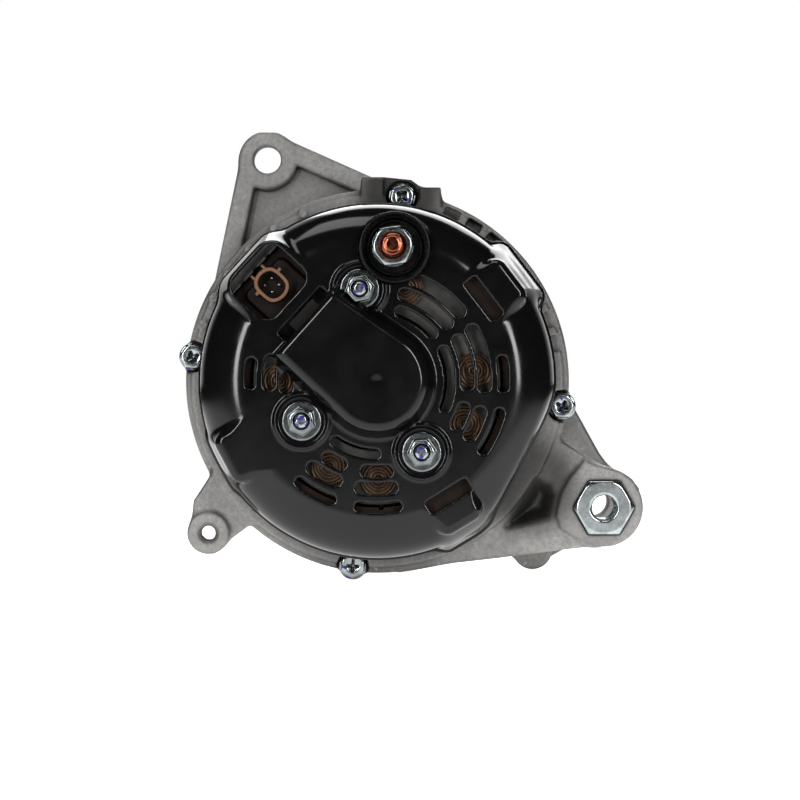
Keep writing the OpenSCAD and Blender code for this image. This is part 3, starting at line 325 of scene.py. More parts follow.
def new_mesh(name, points, faces, smooth=True):
    points = np.asarray(points, np.float32)
    faces = np.asarray(faces, np.int32)
    mesh = bpy.data.meshes.new(name)
    mesh.vertices.add(len(points))
    mesh.vertices.foreach_set("co", points.ravel())
    mesh.loops.add(faces.size)
    mesh.loops.foreach_set("vertex_index", faces.ravel())
    mesh.polygons.add(len(faces))
    mesh.polygons.foreach_set("loop_start", np.arange(0, faces.size, faces.shape[1], dtype=np.int32))
    mesh.polygons.foreach_set("use_smooth", np.full(len(faces), smooth))
    mesh.update(calc_edges=True)
    mesh.validate()
    return new_object(name, mesh)


def placed_copies(points, faces, places):
    """Repeats a mesh at several x, z places, each turned around its own depth axis."""
    all_points, all_faces = [], []
    for x, z, turn in places:
        a = math.radians(turn)
        px = points[:, 0] * math.cos(a) - points[:, 1] * math.sin(a) + x
        pz = points[:, 0] * math.sin(a) + points[:, 1] * math.cos(a) + z
        all_faces.append(faces + sum(len(p) for p in all_points))
        all_points.append(np.stack([px, pz, points[:, 2]], 1))
    return np.concatenate(all_points), np.concatenate(all_faces)


def settle_in(obj, material, body, node):
    """Gives a new object its material and the body it rides on, and hides the CAD node it stands for."""
    obj.data.materials.append(material)
    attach(obj, body)
    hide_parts(node)


# --- Rear cover ---

# Rows of arc vents: radius and width, then where each starts and ends
COVER_SLOTS = (
    (44.0, 3.5, (-5, 11.5), (-35, -12.6), (-100, -78.7), (-129.4, -109), (169.5, 183.7)),
    (37.4, 4.2, (-6, 31), (37, 72), (-33, -14), (-101.5, -79), (-129.6, -109.4), (166, 185)),
    (31.5, 4.2, (-6, 30), (36, 76), (-32, -14), (-100, -80), (-126, -110), (175, 188)),
    (25.3, 3.5, (-25, 28), (37, 75), (-128, -87.6)),
)
# Square bulges in the wall: angle, radius low and high, half width low and high
BULGES = (
    (37.4, 65.1, 60.2, 13.0, 9.4),
    (-58.8, 64.0, 59.0, 11.8, 8.6),
    (208.0, 62.0, 60.2, 12.0, 9.6),
)
BULGE_START = 12.0  # height above the rim where a bulge begins to lean in
BULGE_RUN = 16.0
BULGE_INNER_R = 42.0
DOME_R = 62.1
DOME_HALF = 13.2
DOME_LEAN = (0.13, 0.28)
DOME_FALL = 12.0
PLATEAU_R = 16.5
PLATEAU_A = (-15.3, 30.6)
PLATEAU_B = (-34.1, 9.5)
PLATEAU_END_ANGLE = 138.0
PLATEAU_END_R = 32.0
PLATEAU_LEAN = 0.45
PLATEAU_FOOT = 3.0
LIP_R = 9.3
LIP_HALF = 0.55
SQUARE_HOLES = ((37.6, 46.8), (-58.0, 47.1))  # angle and radius
SQUARE_BOX = ((-2.45, -8.2), (2.45, 8.2))
OPENING_R = 51.6
OPENING_BOX = ((-10.5, -11.4), (9.3, 11.4))
OPENING_RIM = 14.0  # the cover's wall stays whole up to this height
CUP_HOLE_R = 12.45
SLIT_BOX = ((32.1, -11.0), (36.5, 11.0))
DIMPLE_R = 8.0


def tangent_point(corner, r, side):
    """Where a line from a corner touches a circle around the shaft."""
    reach = math.hypot(*corner)
    a = math.atan2(corner[1], corner[0]) + side * math.acos(r / reach)
    return r * math.cos(a), r * math.sin(a)


def plateau_outline(x, z):
    corners = [
        tangent_point(PLATEAU_A, PLATEAU_R, -1), PLATEAU_A, PLATEAU_B,
        tangent_point(PLATEAU_B, PLATEAU_R, 1),
    ]
    return minimum(hypot(x, z) - PLATEAU_R, outline(x, z, corners))


def cover_form(x, z, d):
    """The outside of the pressed cover as a filled shape."""
    form = rounded(hypot(x, z) - COVER_R, d - FLOOR_D, SHOULDER_R)
    rise = clip((d - RIM_D - BULGE_START) / BULGE_RUN, 0, 1)
    for angle, low_r, high_r, low_w, high_w in BULGES:
        u, v = turned(x, z, angle)
        face = u - (low_r + (high_r - low_r) * rise)
        side = np.abs(v) - (low_w + (high_w - low_w) * rise)
        bulge = rounded(rounded(face, side, 4.0), d - FLOOR_D, 2.6)
        form = join(form, maximum(bulge, BULGE_INNER_R - u), 2.4)
    u, v = turned(x, z, PLUG_ANGLE)
    fall = clip(FLOOR_D - d, 0, DOME_FALL)
    side = np.abs(v) - DOME_HALF - fall * DOME_LEAN[1]
    dome = rounded(u - DOME_R - fall * DOME_LEAN[0], side, 7.5)
    dome = rounded(dome, d - FLOOR_D, 1.0)
    form = join(form, maximum(dome, BULGE_INNER_R - u), 2.4)
    form = maximum(form, d - FLOOR_D)
    cut_u, _ = turned(x, z, LUG_CUT_ANGLE)
    form = trim(form, cut_u - LUG_CUT_R, 3.0)
    taper = clip((PLATEAU_D - d) * PLATEAU_LEAN, 0, PLATEAU_FOOT)
    flat_end, _ = turned(x, z, PLATEAU_END_ANGLE)
    plateau = trim(plateau_outline(x, z) - taper, flat_end - PLATEAU_END_R, 0.8)
    plateau = rounded(plateau - 0.3, d - PLATEAU_D, 1.8)
    form = join(form, plateau, 1.2)
    lips = [np.abs(disc(x, z, stud, LIP_R)) - LIP_HALF for stud in STUDS]
    return stack(form, d, [(lip, FLOOR_D - 2.0, FLOOR_D + 1.0, 0.5, 0.6) for lip in lips])


def cover_openings(x, z, d):
    cuts = [arc_band(x, z, radius, width, *arc) for radius, width, *arcs in COVER_SLOTS for arc in arcs]
    cuts += [disc(x, z, stud, 2.6) for stud in STUDS]
    for angle, radius in SQUARE_HOLES:
        u, v = turned(x, z, angle)
        cuts.append(flat_box(u - radius, v, *SQUARE_BOX, 0.8))
    u, v = turned(x, z, PLUG_ANGLE)
    opening = flat_box(u - OPENING_R, v, *OPENING_BOX, 5.0)
    cuts.append(maximum(opening, RIM_D + OPENING_RIM - d))
    cuts.append(maximum(disc(x, z, B_CUP, CUP_HOLE_R), FLOOR_D - 10.0 - d))
    cuts.append(maximum(flat_box(u, v, *SLIT_BOX, 0.4), FLOOR_D - 5.0 - d))
    return minimum.reduce(cuts)


def cover_field(x, z, d):
    form = cover_form(x, z, d)
    inside = -(form + SHEET)
    flange = rounded(maximum(form - SHEET, inside), slab(d, RIM_D, RIM_D + 1.6), 0.5)
    shell = join(maximum(form, inside), flange, 0.8)
    shell = trim(shell, RIM_D - d, 0.5)
    dimple = hypot(hypot(x, z), d - PLATEAU_D + 0.15 - DIMPLE_R) - DIMPLE_R
    shell = trim(shell, -dimple, 0.2)
    return trim(shell, -cover_openings(x, z, d), 0.3)


# --- Rear housing ---

REAR_START_D = node_depths("rear_housing")[0]
REAR_RIM_R = 68.5
REAR_RIM_END_D = 82.5
WALL_D = 84.0
WALL_END_D = 90.0
# Steps of the rear end: radius, low and high depth, edge radius, blend
REAR_STEPS = (
    (66.5, 74.0, 85.5, 1.0, 0.6), (58.5, 80.0, WALL_END_D, 0.8, 0.8), (21.5, 82.0, 100.0, 0.6, 1.5),
)
CORE_R = 63.0
LEDGE_R = 61.0
CORE_REAR_D = 70.0
REAR_BEARING_R = 18.5
REAR_BEARING_D = 87.5
REAR_SHAFT_R = 13.0
BOLT_FACE_D = 80.0
BOLT_BOSS_R = 5.0
LUG_R = 14.0
LUG_WEB = ((58, -30), (64.5, -20), (77.1, -28.2), (93.0, -38.2), (79.0, -59.0), (70.6, -59.8),
           (43.8, -63.2), (8.1, -67.2), (12, -58), (40, -45))
LUG_FACE = ((74.2, -28.0), (69.0, -34.3), (65.8, -40.1), (63.8, -47.8), (65.6, -52.6), (77.4, -58.0),
            (84.0, -52.0), (90.0, -36.0))
POCKET_WALL = (0.6, 0.45, 12.0)  # grown by, slope of the wall and height of the slope
POCKET_FLOOR_D = 73.0
WEB_TOP_D = 82.0
LUG_POCKET = ((56.6, -35.4), (61.4, -37.0), (63.4, -40.6), (61.4, -48.4), (46.4, -51.8))
LUG_HEX = 19.1
# Small windows around the rear wall, deeper past one angle
WINDOW_ANGLES = tuple(12.0 + 7.7 * i for i in range(8))
WINDOW_BOX = ((63.6, -2.9), (67.0, 2.9))
DEEP_WINDOW_ANGLE = 45
DEEP_WINDOW_D = 78.0
WINDOW_D = 82.6
PAD_ANGLES = (114, 124.3, 134.3, 144.6, 153, 162)
SMALL_THREAD_R = 2.55
SMALL_THREAD_CONE_D = 85.6
EAR_PLATE = ((-56, -28), (-65.6, -42.5), (-66.6, -51.5), (-58.5, -61.0), (-45.9, -51.6), (-36, -48))
BRIDGE = ((22.4, 55), (23.6, 64), (22.4, 68.0), (14.9, 69.9), (12, 72.0), (2.2, 73.0),
          (-5.6, 73.0), (-7, 60))
BRIDGE_BLOCKS = (((-5.9, 62), (2.2, 72.4)), ((14.9, 60), (22.7, 69.2)))
INNER_VENTS = ((-35, 18), (28, 70), (-98, -50), (-170, -112), (110, 165))
INNER_VENT_R = 47.5
INNER_VENT_WIDTH = 13.0
SIDE_VENTS = 12
SIDE_VENT_TURN = 15
SIDE_VENT_INNER_R = LEDGE_R - 4
REAR_SIDE_VENT = ((-6, 73), (6, 80))


def side_vents(x, z, d, box, corner):
    u, v = ring_repeat(x, z, SIDE_VENTS, BOLT_ANGLES[0] + SIDE_VENT_TURN)
    return maximum(flat_box(v, d, *box, corner), SIDE_VENT_INNER_R - u)


def rear_outside(x, z, d):
    rho = hypot(x, z)
    shape = rounded(rho - REAR_RIM_R, slab(d, REAR_START_D, REAR_RIM_END_D), 1.2)
    shape = stack(shape, d, [(rho - radius, *step) for radius, *step in REAR_STEPS])
    shape = stack(shape, d, [
        (from_bolt(x, z) - BOLT_BOSS_R, REAR_START_D + 0.8, BOLT_FACE_D, 0.5, 1.5),
        (outline(x, z, BRIDGE) - 0.1, 70.0, 82.0, 0.8, 0.8),
        *((flat_box(x, z, *block, 0.8), 78.0, 85.8, 0.6, 0.5) for block in BRIDGE_BLOCKS),
    ])
    web = rounded(outline(x, z, LUG_WEB), slab(d, 66.0, WEB_TOP_D), 1.5)
    face = join(disc(x, z, LUG, LUG_R), outline(x, z, LUG_FACE), 3.0)
    lug = stack(web, d, [(face, 63.0, WALL_D, 0.9, 2.0)])
    shape = join(shape, lug, 2.5)
    grown, slope, height = POCKET_WALL
    pocket = outline(x, z, LUG_POCKET) - grown + clip(WEB_TOP_D - d, 0, height) * slope
    shape = trim(shape, -trim(pocket, POCKET_FLOOR_D - d, 2.0), 2.2)
    pads = [hypot(u - 65.4, v) - 1.9 for u, v in (turned(x, z, angle) for angle in PAD_ANGLES)]
    shape = stack(shape, d, [(pad, 80.0, 86.1, 0.4, 0.4) for pad in pads])
    plate = rounded(outline(x, z, EAR_PLATE), slab(d, 77.0, 85.4), 1.0)
    ear = stack(plate, d, [(disc(x, z, SMALL_EAR, 7.5), 76.0, 87.0, 0.8, 1.5)])
    return join(shape, ear, 1.5)


def rear_field(x, z, d):
    rho = hypot(x, z)
    cuts = [
        maximum(rho - CORE_R, d - CORE_REAR_D), maximum(rho - LEDGE_R, d - WALL_D),
        maximum(rho - REAR_BEARING_R, REAR_BEARING_D - d), rho - REAR_SHAFT_R,
    ]
    bolt = from_bolt(x, z)
    cuts += [bolt - 2.7, maximum(bolt - 5.7, BOLT_FACE_D - d)]
    for angle in WINDOW_ANGLES:
        u, v = turned(x, z, angle)
        start = DEEP_WINDOW_D if angle > DEEP_WINDOW_ANGLE else WINDOW_D
        cuts.append(maximum(flat_box(u, v, *WINDOW_BOX, 0.5), start - d))
    vents = [arc_band(x, z, INNER_VENT_R, INNER_VENT_WIDTH, *arc) for arc in INNER_VENTS]
    cuts += [maximum(vent, BOLT_FACE_D - d) for vent in vents]
    cuts.append(side_vents(x, z, d, REAR_SIDE_VENT, 1.5))
    cuts += [disc(x, z, stud, 2.5) for stud in STUDS]
    cuts.append(hexagon(x, z, LUG, LUG_HEX))
    cuts.append(disc(x, z, SMALL_EAR, SMALL_THREAD_R + clip(d - SMALL_THREAD_CONE_D, 0, 1.4)))
    return trim(rear_outside(x, z, d), -minimum.reduce(cuts), 0.5)


# --- Front housing ---

FRONT_RIM_R = 69.5
FRONT_SPAN = (9.0, 42.0)
HUB = (31.0, -4.0, 18.0)  # radius, low and high depth
FRONT_CONE_R = 63.0  # radius of the front wall's sloping edge at FRONT_CONE_D
FRONT_CONE_D = 8.0
FRONT_CONE_SLOPE = 1.3
EAR_RIB = 7.0
UPPER_EAR_OUTLINE = ((-52.0, 84.6), (-62.5, 34.2), (-41, 20), (0, 40), (4, 73), (-2.8, 77.2),
                     (-37.8, 92.8))
FRONT_LUG_WEB = ((60, -8), (73.8, -10.2), (83.1, -26.9), (93.2, -40.5), (78.2, -58.4),
                 (57.7, -69.6), (44, -62.3), (30, -40))
FLAT_FROM_R = 40.0  # beyond this radius nothing passes the mounting plane
ROUND_BOSS = (57.1, -62.2)
FRONT_CORE_D = 38.0
FRONT_INNER_D = 14.0
FRONT_BEARING_R = 23.5
FRONT_BEARING_D = 4.0
FRONT_SHAFT_R = 15.0
FRONT_VENTS = 12
FRONT_VENT_SPAN = (36.0, 55.0)
FRONT_VENT_END_D = 20.0
VENT_SPREAD = math.tan(math.radians(9.5))
EAR_KEEP_ANGLE = 120
LUG_KEEP_R = 30.0
FRONT_SIDE_VENT = ((-7, 17), (7, 29))


def front_outside(x, z, d):
    rho = hypot(x, z)
    shape = rounded(rho - FRONT_RIM_R, slab(d, *FRONT_SPAN), 1.0)
    shape = maximum(shape, (rho - FRONT_CONE_R) - (d - FRONT_CONE_D) * FRONT_CONE_SLOPE)
    u, v = ring_repeat(x, z, FRONT_VENTS, 0)
    rib = flat_box(u, v, (28, -1.6), (64, 1.6), 1.0)
    boss = from_bolt(x, z) - BOLT_BOSS_R
    shape = stack(shape, d, (
        (rho - HUB[0], *HUB[1:], 1.0, 3.0), (rib, 6.2, 12.0, 0.8, 1.0),
        (boss, 14.0, FRONT_SPAN[1] - 0.8, 0.8, 1.5),
    ))
    ear_flat = join(outline(x, z, UPPER_EAR_OUTLINE), disc(x, z, UPPER_EAR, 10.2), 1.0)
    ear = rounded(ear_flat, slab(d, 0, 10), 0.9)
    pocket = maximum(ear_flat + EAR_RIB, -disc(x, z, UPPER_EAR, 10.6))
    ear = trim(ear, -rounded(pocket + 0.6, 4.5 - d, 0.8), 1.4)
    ear = stack(ear, d, [(disc(x, z, UPPER_EAR, 10.3), 0, 9.5, 0.6, 2.2)])
    web = rounded(outline(x, z, FRONT_LUG_WEB), slab(d, 0, 12), 1.2)
    lug = stack(web, d, [(disc(x, z, LUG, LUG_R), 0, 13, 0.8, 2.4)])
    shape = join(join(shape, ear, 1.2), lug, 1.2)
    shape = stack(shape, d, [(disc(x, z, ROUND_BOSS, 7.3), 1.2, 34, 1.2, 1.5)])
    return maximum(shape, minimum(-d, rho - FLAT_FROM_R))


def front_field(x, z, d):
    rho = hypot(x, z)
    inner = maximum(rho - LEDGE_R, FRONT_INNER_D - d)
    inner = maximum(inner, -maximum(rho - HUB[0], d - HUB[2]))
    u, v = ring_repeat(x, z, FRONT_VENTS, 15)
    vent = maximum(front_vent(u, v), d - FRONT_VENT_END_D)
    keep = minimum(ear_keep(x, z), disc(x, z, LUG, LUG_KEEP_R))
    u, v = ring_repeat(x, z, 4, 45)
    cuts = [
        maximum(rho - CORE_R, FRONT_CORE_D - d), inner,
        maximum(rho - FRONT_BEARING_R, FRONT_BEARING_D - d), rho - FRONT_SHAFT_R,
        maximum(vent, -keep), side_vents(x, z, d, FRONT_SIDE_VENT, 2.0),
        maximum(from_bolt(x, z) - 2.55, HUB[2] - d), disc(x, z, UPPER_EAR, 5.1),
        disc(x, z, LUG, 5.25), maximum(hypot(u - 27, v) - 2.0, 9 - d),
    ]
    return trim(front_outside(x, z, d), -minimum.reduce(cuts), 0.5)


def front_vent(u, v):
    """A wedge-shaped vent between two radial ribs, with rounded corners."""
    return rounded(np.abs(v) - u * VENT_SPREAD, slab(u, *FRONT_VENT_SPAN), 2.0)


def ear_keep(x, z):
    """Where the front wall stays solid under the upper ear's rib."""
    u, v = turned(x, z, EAR_KEEP_ANGLE)
    return maximum(FLAT_FROM_R - u, np.abs(v) - 1)


# --- Fasteners, terminal and connector ---

B_NUT_SPAN = node_depths("b_terminal_nut")
B_STUD_SPAN = node_depths("b_terminal_stud")
CUP_SPAN = node_depths("b_terminal_insulator")
BUSH_SPAN = node_depths("mount_bush")
REG_TOP_D = node_depths("regulator")[1]
NUT_SLOPE = (0.5, 0.87)  # of the turned corners of a hexagon: outwards and along the shaft
M5_R = 2.5
STUD_START_D = 84.0
STUD_END_D = 132.5
BOLT_START_D = 20.0
BOLT_TOP_D = BOLT_FACE_D + 4.6
CROSS_BOX = ((-2.3, -0.5), (2.3, 0.5))
CROSS_DEPTH = 2.2
B_STUD_START_D = 112.0
SHROUD_R = 49.6
SHROUD_HALF = (6.0, 5.2)
SHROUD_D = 108.0
SHROUD_FLOOR_D = 112.0
# Keys on the shroud: sideways places, low and high corners
SHROUD_KEYS = (((-2.6, 2.6), (54.5, -0.5), (57.0, 0.5)), ((-5.7, 5.7), (50.6, -0.7), (51.8, 0.7)))
# Depth up to which the connector moulding is painted dark as painted shade, and the depth over which it
# turns to its own colour
SHADE_START_D = 114.0
SHADE_RUN = 3.0


def thread(rho, x, z, d, radius, pitch, depth):
    """The outside of a screw thread."""
    turn = (np.arctan2(z, x) / (2 * math.pi) + d / pitch) % 1.0
    return rho - radius + depth * 2 * np.abs(turn - 0.5)


def turned_corner(rho, d, radius, top):
    return (rho - radius) * NUT_SLOPE[0] + (d - top) * NUT_SLOPE[1]


def hex_nut(x, z, d, across_flats, low, high):
    """A hexagon with turned corners at its free end."""
    body = trim(hexagon(x, z, (0, 0), across_flats), slab(d, low, high), 0.25)
    return trim(body, turned_corner(hypot(x, z), d, across_flats * 0.5, high), 0.2)


def cover_nut_field(x, z, d):
    rho = hypot(x, z)
    up = d - FLOOR_D
    flange = rounded(rho - 6.9, slab(up, 0, 1.6), 0.4)
    body = join(flange, hex_nut(x, z, up, 8.4, 0.5, 6.4), 0.3)
    body = stack(body, up, [(rho - 3.5, 4, 6.9, 0.4, 0.3)])
    return trim(body, -(rho - 2.55 - clip(up - 6.3, 0, 1)), 0.2)


def cover_stud_field(x, z, d):
    rho = hypot(x, z)
    body = trim(thread(rho, x, z, d, M5_R, 0.8, 0.3), slab(d, STUD_START_D, STUD_END_D), 0.2)
    return trim(body, rho - M5_R + (d - STUD_END_D + 0.7), 0.2)


def bolt_field(x, z, d):
    rho = hypot(x, z)
    shank = maximum(rho - M5_R, slab(d, BOLT_START_D, BOLT_FACE_D + 1))
    flange = rounded(rho - 5.0, slab(d, BOLT_FACE_D, BOLT_FACE_D + 1.5), 0.4)
    head = join(flange, hex_nut(x, z, d, 7.9, BOLT_FACE_D + 0.5, BOLT_TOP_D), 0.4)
    cross = minimum(flat_box(x, z, *CROSS_BOX, 0.3), flat_box(z, x, *CROSS_BOX, 0.3))
    recess = maximum(cross + clip(BOLT_TOP_D - d, 0, 3) * 0.12, BOLT_TOP_D - CROSS_DEPTH - d)
    dish = hypot(rho, d - BOLT_TOP_D - 4.2) - 4.7
    head = trim(head, -dish, 0.3)
    return minimum(shank, trim(head, -recess, 0.25))


def b_nut_field(x, z, d):
    low, high = B_NUT_SPAN
    hole = hypot(x, z) - 4.05 - clip(d - high + 0.7, 0, 1)
    return trim(hex_nut(x, z, d, 13.0, low, high), -hole, 0.2)


def b_stud_field(x, z, d):
    rho = hypot(x, z)
    end = B_STUD_SPAN[1]
    body = trim(thread(rho, x, z, d, 4.0, 1.25, 0.45), slab(d, B_STUD_START_D, end), 0.2)
    body = trim(body, rho - 3.4 + (d - end), 0.15)
    body = trim(body, -(np.abs(rho - 2.6) - 0.25 + (end - d)), 0.1)
    return minimum(body, rounded(rho - 7.0, slab(d, B_STUD_START_D - 4, B_STUD_START_D), 0.4))


def b_cup_field(x, z, d):
    rho = hypot(x - B_CUP[0], z - B_CUP[1])
    up = d - CUP_SPAN[0]
    wall = rounded(np.abs(rho - 11.85) - 0.55, slab(up, 2.9, CUP_SPAN[1] - CUP_SPAN[0]), 0.45)
    floor = rounded(rho - 11.9, slab(up, 2.9, 4.4), 0.3)
    stem = rounded(disc(x, z, B_STUD, 8.2), slab(up, 0, 3.2), 0.2)
    body = minimum(minimum(wall, floor), stem)
    body = stack(body, up, [(np.abs(rho - 9.4) - 0.5, 3, 5.6, 0.3, 0.5)])
    return trim(body, -disc(x, z, B_STUD, 4.02), 0.2)


def bush_field(x, z, d):
    rho = hypot(x, z)
    low, high = BUSH_SPAN
    body = trim(hexagon(x, z, (0, 0), 19.0), slab(d, low, high), 0.5)
    body = trim(body, turned_corner(rho, d, 9.5, high), 0.2)
    bore = thread(rho, x, z, d, 4.75, 1.5, 0.5)
    bore = minimum(bore, rho - 4.3 - clip(d - high + 0.7, 0, 2))
    return trim(body, -bore, 0.25)


def oval(u, v, shrink):
    half_u, half_v = SHROUD_HALF
    return trim(hypot(u * 0.97, v) - half_u + shrink, np.abs(v) - half_v + shrink, 1.2)


def regulator_field(x, z, d):
    u, v = turned(x, z, PLUG_ANGLE)
    body = rounded(flat_box(u, v, (39, -12.4), (57.5, 12.4), 1.5), slab(d, 103, 111), 0.8)
    layers = [
        (flat_box(u, v, (40, -9.6), (54.4, 9.6), 2.5), SHROUD_D, 114, 0.6, 0.8),
        (oval(u - SHROUD_R, v, 0.0), SHROUD_D, REG_TOP_D, 0.35, 0.6),
    ]
    for sides, low, high in SHROUD_KEYS:
        keys = [flat_box(u, v - side, low, high, 0.3) for side in sides]
        layers += [(key, SHROUD_D, REG_TOP_D - 0.2, 0.3, 0.3) for key in keys]
    hollow = maximum(oval(u - SHROUD_R, v, 1.2), SHROUD_FLOOR_D - d)
    return trim(stack(body, d, layers), -hollow, 0.3)


# --- Materials ---

SHADE_CORE = 0.45  # share of a spot's reach where its painted shade is darkest
ZINC_TONES = ((0.38, 0.42, 0.425), (0.54, 0.58, 0.585))
PAINT = (0.045, 0.035, 0.26)
MOTTLE = (0.35, 0.65)  # noise values between which one tone turns into the other
SPREAD = (0.3, 0.7)
RING_PITCH = 1.2
SHEET_PITCH = 0.5
PLASTIC_SHEEN = 0.18


def scaled(tone, factor, lift=0.0):
    return tuple(min(1, c * factor + lift) for c in tone)


def colour(value):
    return (*value, 1.0) if isinstance(value, tuple) and len(value) == 3 else value


class Nodes:
    """A short way to write a node material. Sizes are in millimetres."""

    def __init__(self, name):
        self.material = bpy.data.materials.new(name)
        self.material.use_nodes = True
        self.tree = self.material.node_tree
        self.tree.nodes.clear()
        self.coords = self.add("ShaderNodeTexCoord").outputs["Object"]
        self.shader = self.add("ShaderNodeBsdfPrincipled")
        self.link(self.shader.outputs[0], self.add("ShaderNodeOutputMaterial").inputs[0])

    def add(self, kind, **values):
        node = self.tree.nodes.new(kind)
        for key, value in values.items():
            setattr(node, key, value)
        return node

    def link(self, a, b):
        self.tree.links.new(a, b)

    def put(self, value, socket):
        if isinstance(value, bpy.types.NodeSocket):
            self.link(value, socket)
        else:
            socket.default_value = value

    def noise(self, size, detail=3, rough=0.6):
        mapping = self.add("ShaderNodeMapping")
        mapping.inputs["Scale"].default_value = [1 / (size * MM)] * 3
        self.link(self.coords, mapping.inputs["Vector"])
        noise = self.add("ShaderNodeTexNoise")
        for key, value in (("Scale", 1.0), ("Detail", detail), ("Roughness", rough)):
            noise.inputs[key].default_value = value
        self.link(mapping.outputs[0], noise.inputs["Vector"])
        return noise.outputs["Fac"]

    def span(self, value, low, high, to_low=0.0, to_high=1.0):
        """A smooth step from to_low, where the value is low, to to_high."""
        node = self.add("ShaderNodeMapRange", interpolation_type="SMOOTHSTEP")
        for socket, number in zip(node.inputs, (value, low, high, to_low, to_high)):
            self.put(number, socket)
        return node.outputs[0]

    def math(self, kind, a, b=0.0):
        node = self.add("ShaderNodeMath", operation=kind)
        self.put(a, node.inputs[0])
        self.put(b, node.inputs[1])
        return node.outputs[0]

    def mix(self, amount, a, b):
        node = self.add("ShaderNodeMix", data_type="RGBA")
        for index, value in ((0, amount), (6, colour(a)), (7, colour(b))):
            self.put(value, node.inputs[index])
        return node.outputs[2]

    def clouds(self, size, tones, limits=MOTTLE, rough=0.6):
        """Two tones mottled by noise."""
        return self.mix(self.span(self.noise(size, 3, rough), *limits), *tones)

    def uneven(self, size, low, high, detail=3, rough=0.6):
        """A roughness that wanders between two values."""
        return self.span(self.noise(size, detail, rough), *SPREAD, low, high)

    def edges(self, low, high, amount):
        point = self.add("ShaderNodeNewGeometry").outputs["Pointiness"]
        return self.span(point, low, high, 0.0, amount)

    # Painted shade: how much to darken where ambient occlusion finds other surfaces within reach, up to
    # amount.
    def crevice_shade(self, reach, amount=1.0):
        node = self.add("ShaderNodeAmbientOcclusion", samples=4)
        node.inputs["Distance"].default_value = reach * MM
        return self.math("MULTIPLY", self.math("SUBTRACT", 1.0, node.outputs["AO"]), amount)

    def axis(self, index):
        split = self.add("ShaderNodeSeparateXYZ")
        self.link(self.coords, split.inputs[0])
        return split.outputs[index]

    def away(self, x, z):
        """Distance from the line through (x, z) along the shaft's direction."""
        sides = self.math("SUBTRACT", self.axis(0), x * MM), self.math("SUBTRACT", self.axis(2), z * MM)
        return self.math("SQRT", self.math("ADD", *(self.math("POWER", side, 2.0) for side in sides)))

    def layers(self, pitch):
        """Distance from the middle of repeating layers across the shaft, 0 to 0.5."""
        layer = self.math("FRACT", self.math("MULTIPLY", self.axis(1), 1 / (pitch * MM)))
        return self.math("ABSOLUTE", self.math("SUBTRACT", layer, 0.5))

    def bump(self, height, depth, strength, before=None):
        node = self.add("ShaderNodeBump")
        node.inputs["Distance"].default_value = depth * MM
        node.inputs["Strength"].default_value = strength
        self.put(height, node.inputs["Height"])
        if before is not None:
            self.link(before, node.inputs["Normal"])
        return node.outputs[0]

    def finish(self, base, metallic, roughness, normal=None, **more):
        if normal is not None:
            self.link(normal, self.shader.inputs["Normal"])
        values = {"Base Color": base, "Metallic": metallic, "Roughness": roughness, **more}
        for key, value in values.items():
            self.put(colour(value), self.shader.inputs[key.replace("_", " ")])
        return self.material


def cast_metal(name, shade_spots=()):
    m = Nodes(name)
    base = m.clouds(14, ((0.315, 0.31, 0.3), (0.46, 0.45, 0.435)))
    base = m.mix(m.span(m.noise(1.5, 4, 0.8), 0.4, 0.64, 0.0, 0.38), base, (0.17, 0.165, 0.16))
    base = m.mix(m.edges(0.54, 0.66, 0.35), base, (0.72, 0.71, 0.69))
    # Painted shade: darker in crevices.
    base = m.mix(m.crevice_shade(11), base, (0.045, 0.042, 0.04))
    base = m.mix(m.span(m.noise(2.2, 2, 0.5), 0.66, 0.74, 0.0, 0.25), base, (0.68, 0.67, 0.65))
    # Painted shade: darker around each spot, fading out at its reach.
    for x, z, reach, strength in shade_spots:
        shade = m.span(m.away(x, z), reach * SHADE_CORE * MM, reach * MM, strength, 0.0)
        base = m.mix(shade, base, (0.05, 0.048, 0.046))
    normal = m.bump(m.noise(0.6, 3, 0.7), 0.1, 0.9)
    normal = m.bump(m.noise(1.5, 3, 0.75), 0.16, 0.9, normal)
    return m.finish(base, 0.75, m.uneven(14, 0.52, 0.66), normal)


def black_gloss(name):
    m = Nodes(name)
    base = m.clouds(30, ((0.0035, 0.0036, 0.0038), (0.006, 0.0062, 0.0065)), SPREAD, 0.5)
    base = m.mix(m.span(m.noise(0.7, 2), 0.68, 0.8, 0.0, 0.06), base, (0.08, 0.08, 0.08))
    base = m.mix(m.edges(0.58, 0.72, 0.1), base, (0.04, 0.04, 0.042))
    # Painted shade: less reflection in crevices.
    sheen = m.math("SUBTRACT", 0.5, m.crevice_shade(8, 0.5))
    normal = m.bump(m.noise(1.6, 2, 0.5), 0.003, 0.5)
    return m.finish(base, 0.0, m.uneven(9, 0.1, 0.16), normal, Specular_IOR_Level=sheen)


def zinc(name, paint=None, tone=1.0):
    """Paint is the size of its blotches, and the noise values they start between."""
    m = Nodes(name)
    # Tone scales the plate's colour; a copy below 1 is painted shade and one above 1 is painted light.
    base = m.clouds(3, [scaled(pair, tone) for pair in ZINC_TONES])
    # Painted shade: darker in crevices.
    base = m.mix(m.crevice_shade(4.0), base, (0.05, 0.052, 0.058))
    metallic = 1.0
    if paint:
        ink = m.span(m.noise(paint[0], 2, 0.5), *paint[1:])
        base = m.mix(ink, base, PAINT)
        metallic = m.math("SUBTRACT", 1.0, ink)
    return m.finish(base, metallic, m.uneven(1.2, 0.13, 0.24), m.bump(m.noise(0.9, 2), 0.012, 0.5))


def metal(name, low, high, rough_low, rough_high, grain=0.5):
    m = Nodes(name)
    base = m.clouds(8, (low, high))
    # Painted shade: darker in crevices.
    base = m.mix(m.crevice_shade(2.5, 0.7), base, scaled(low, 0.18))
    base = m.mix(m.edges(0.51, 0.6, 0.3), base, scaled(high, 1.25))
    return m.finish(base, 1.0, m.uneven(2.5, rough_low, rough_high), m.bump(m.noise(grain), 0.02, 0.5))


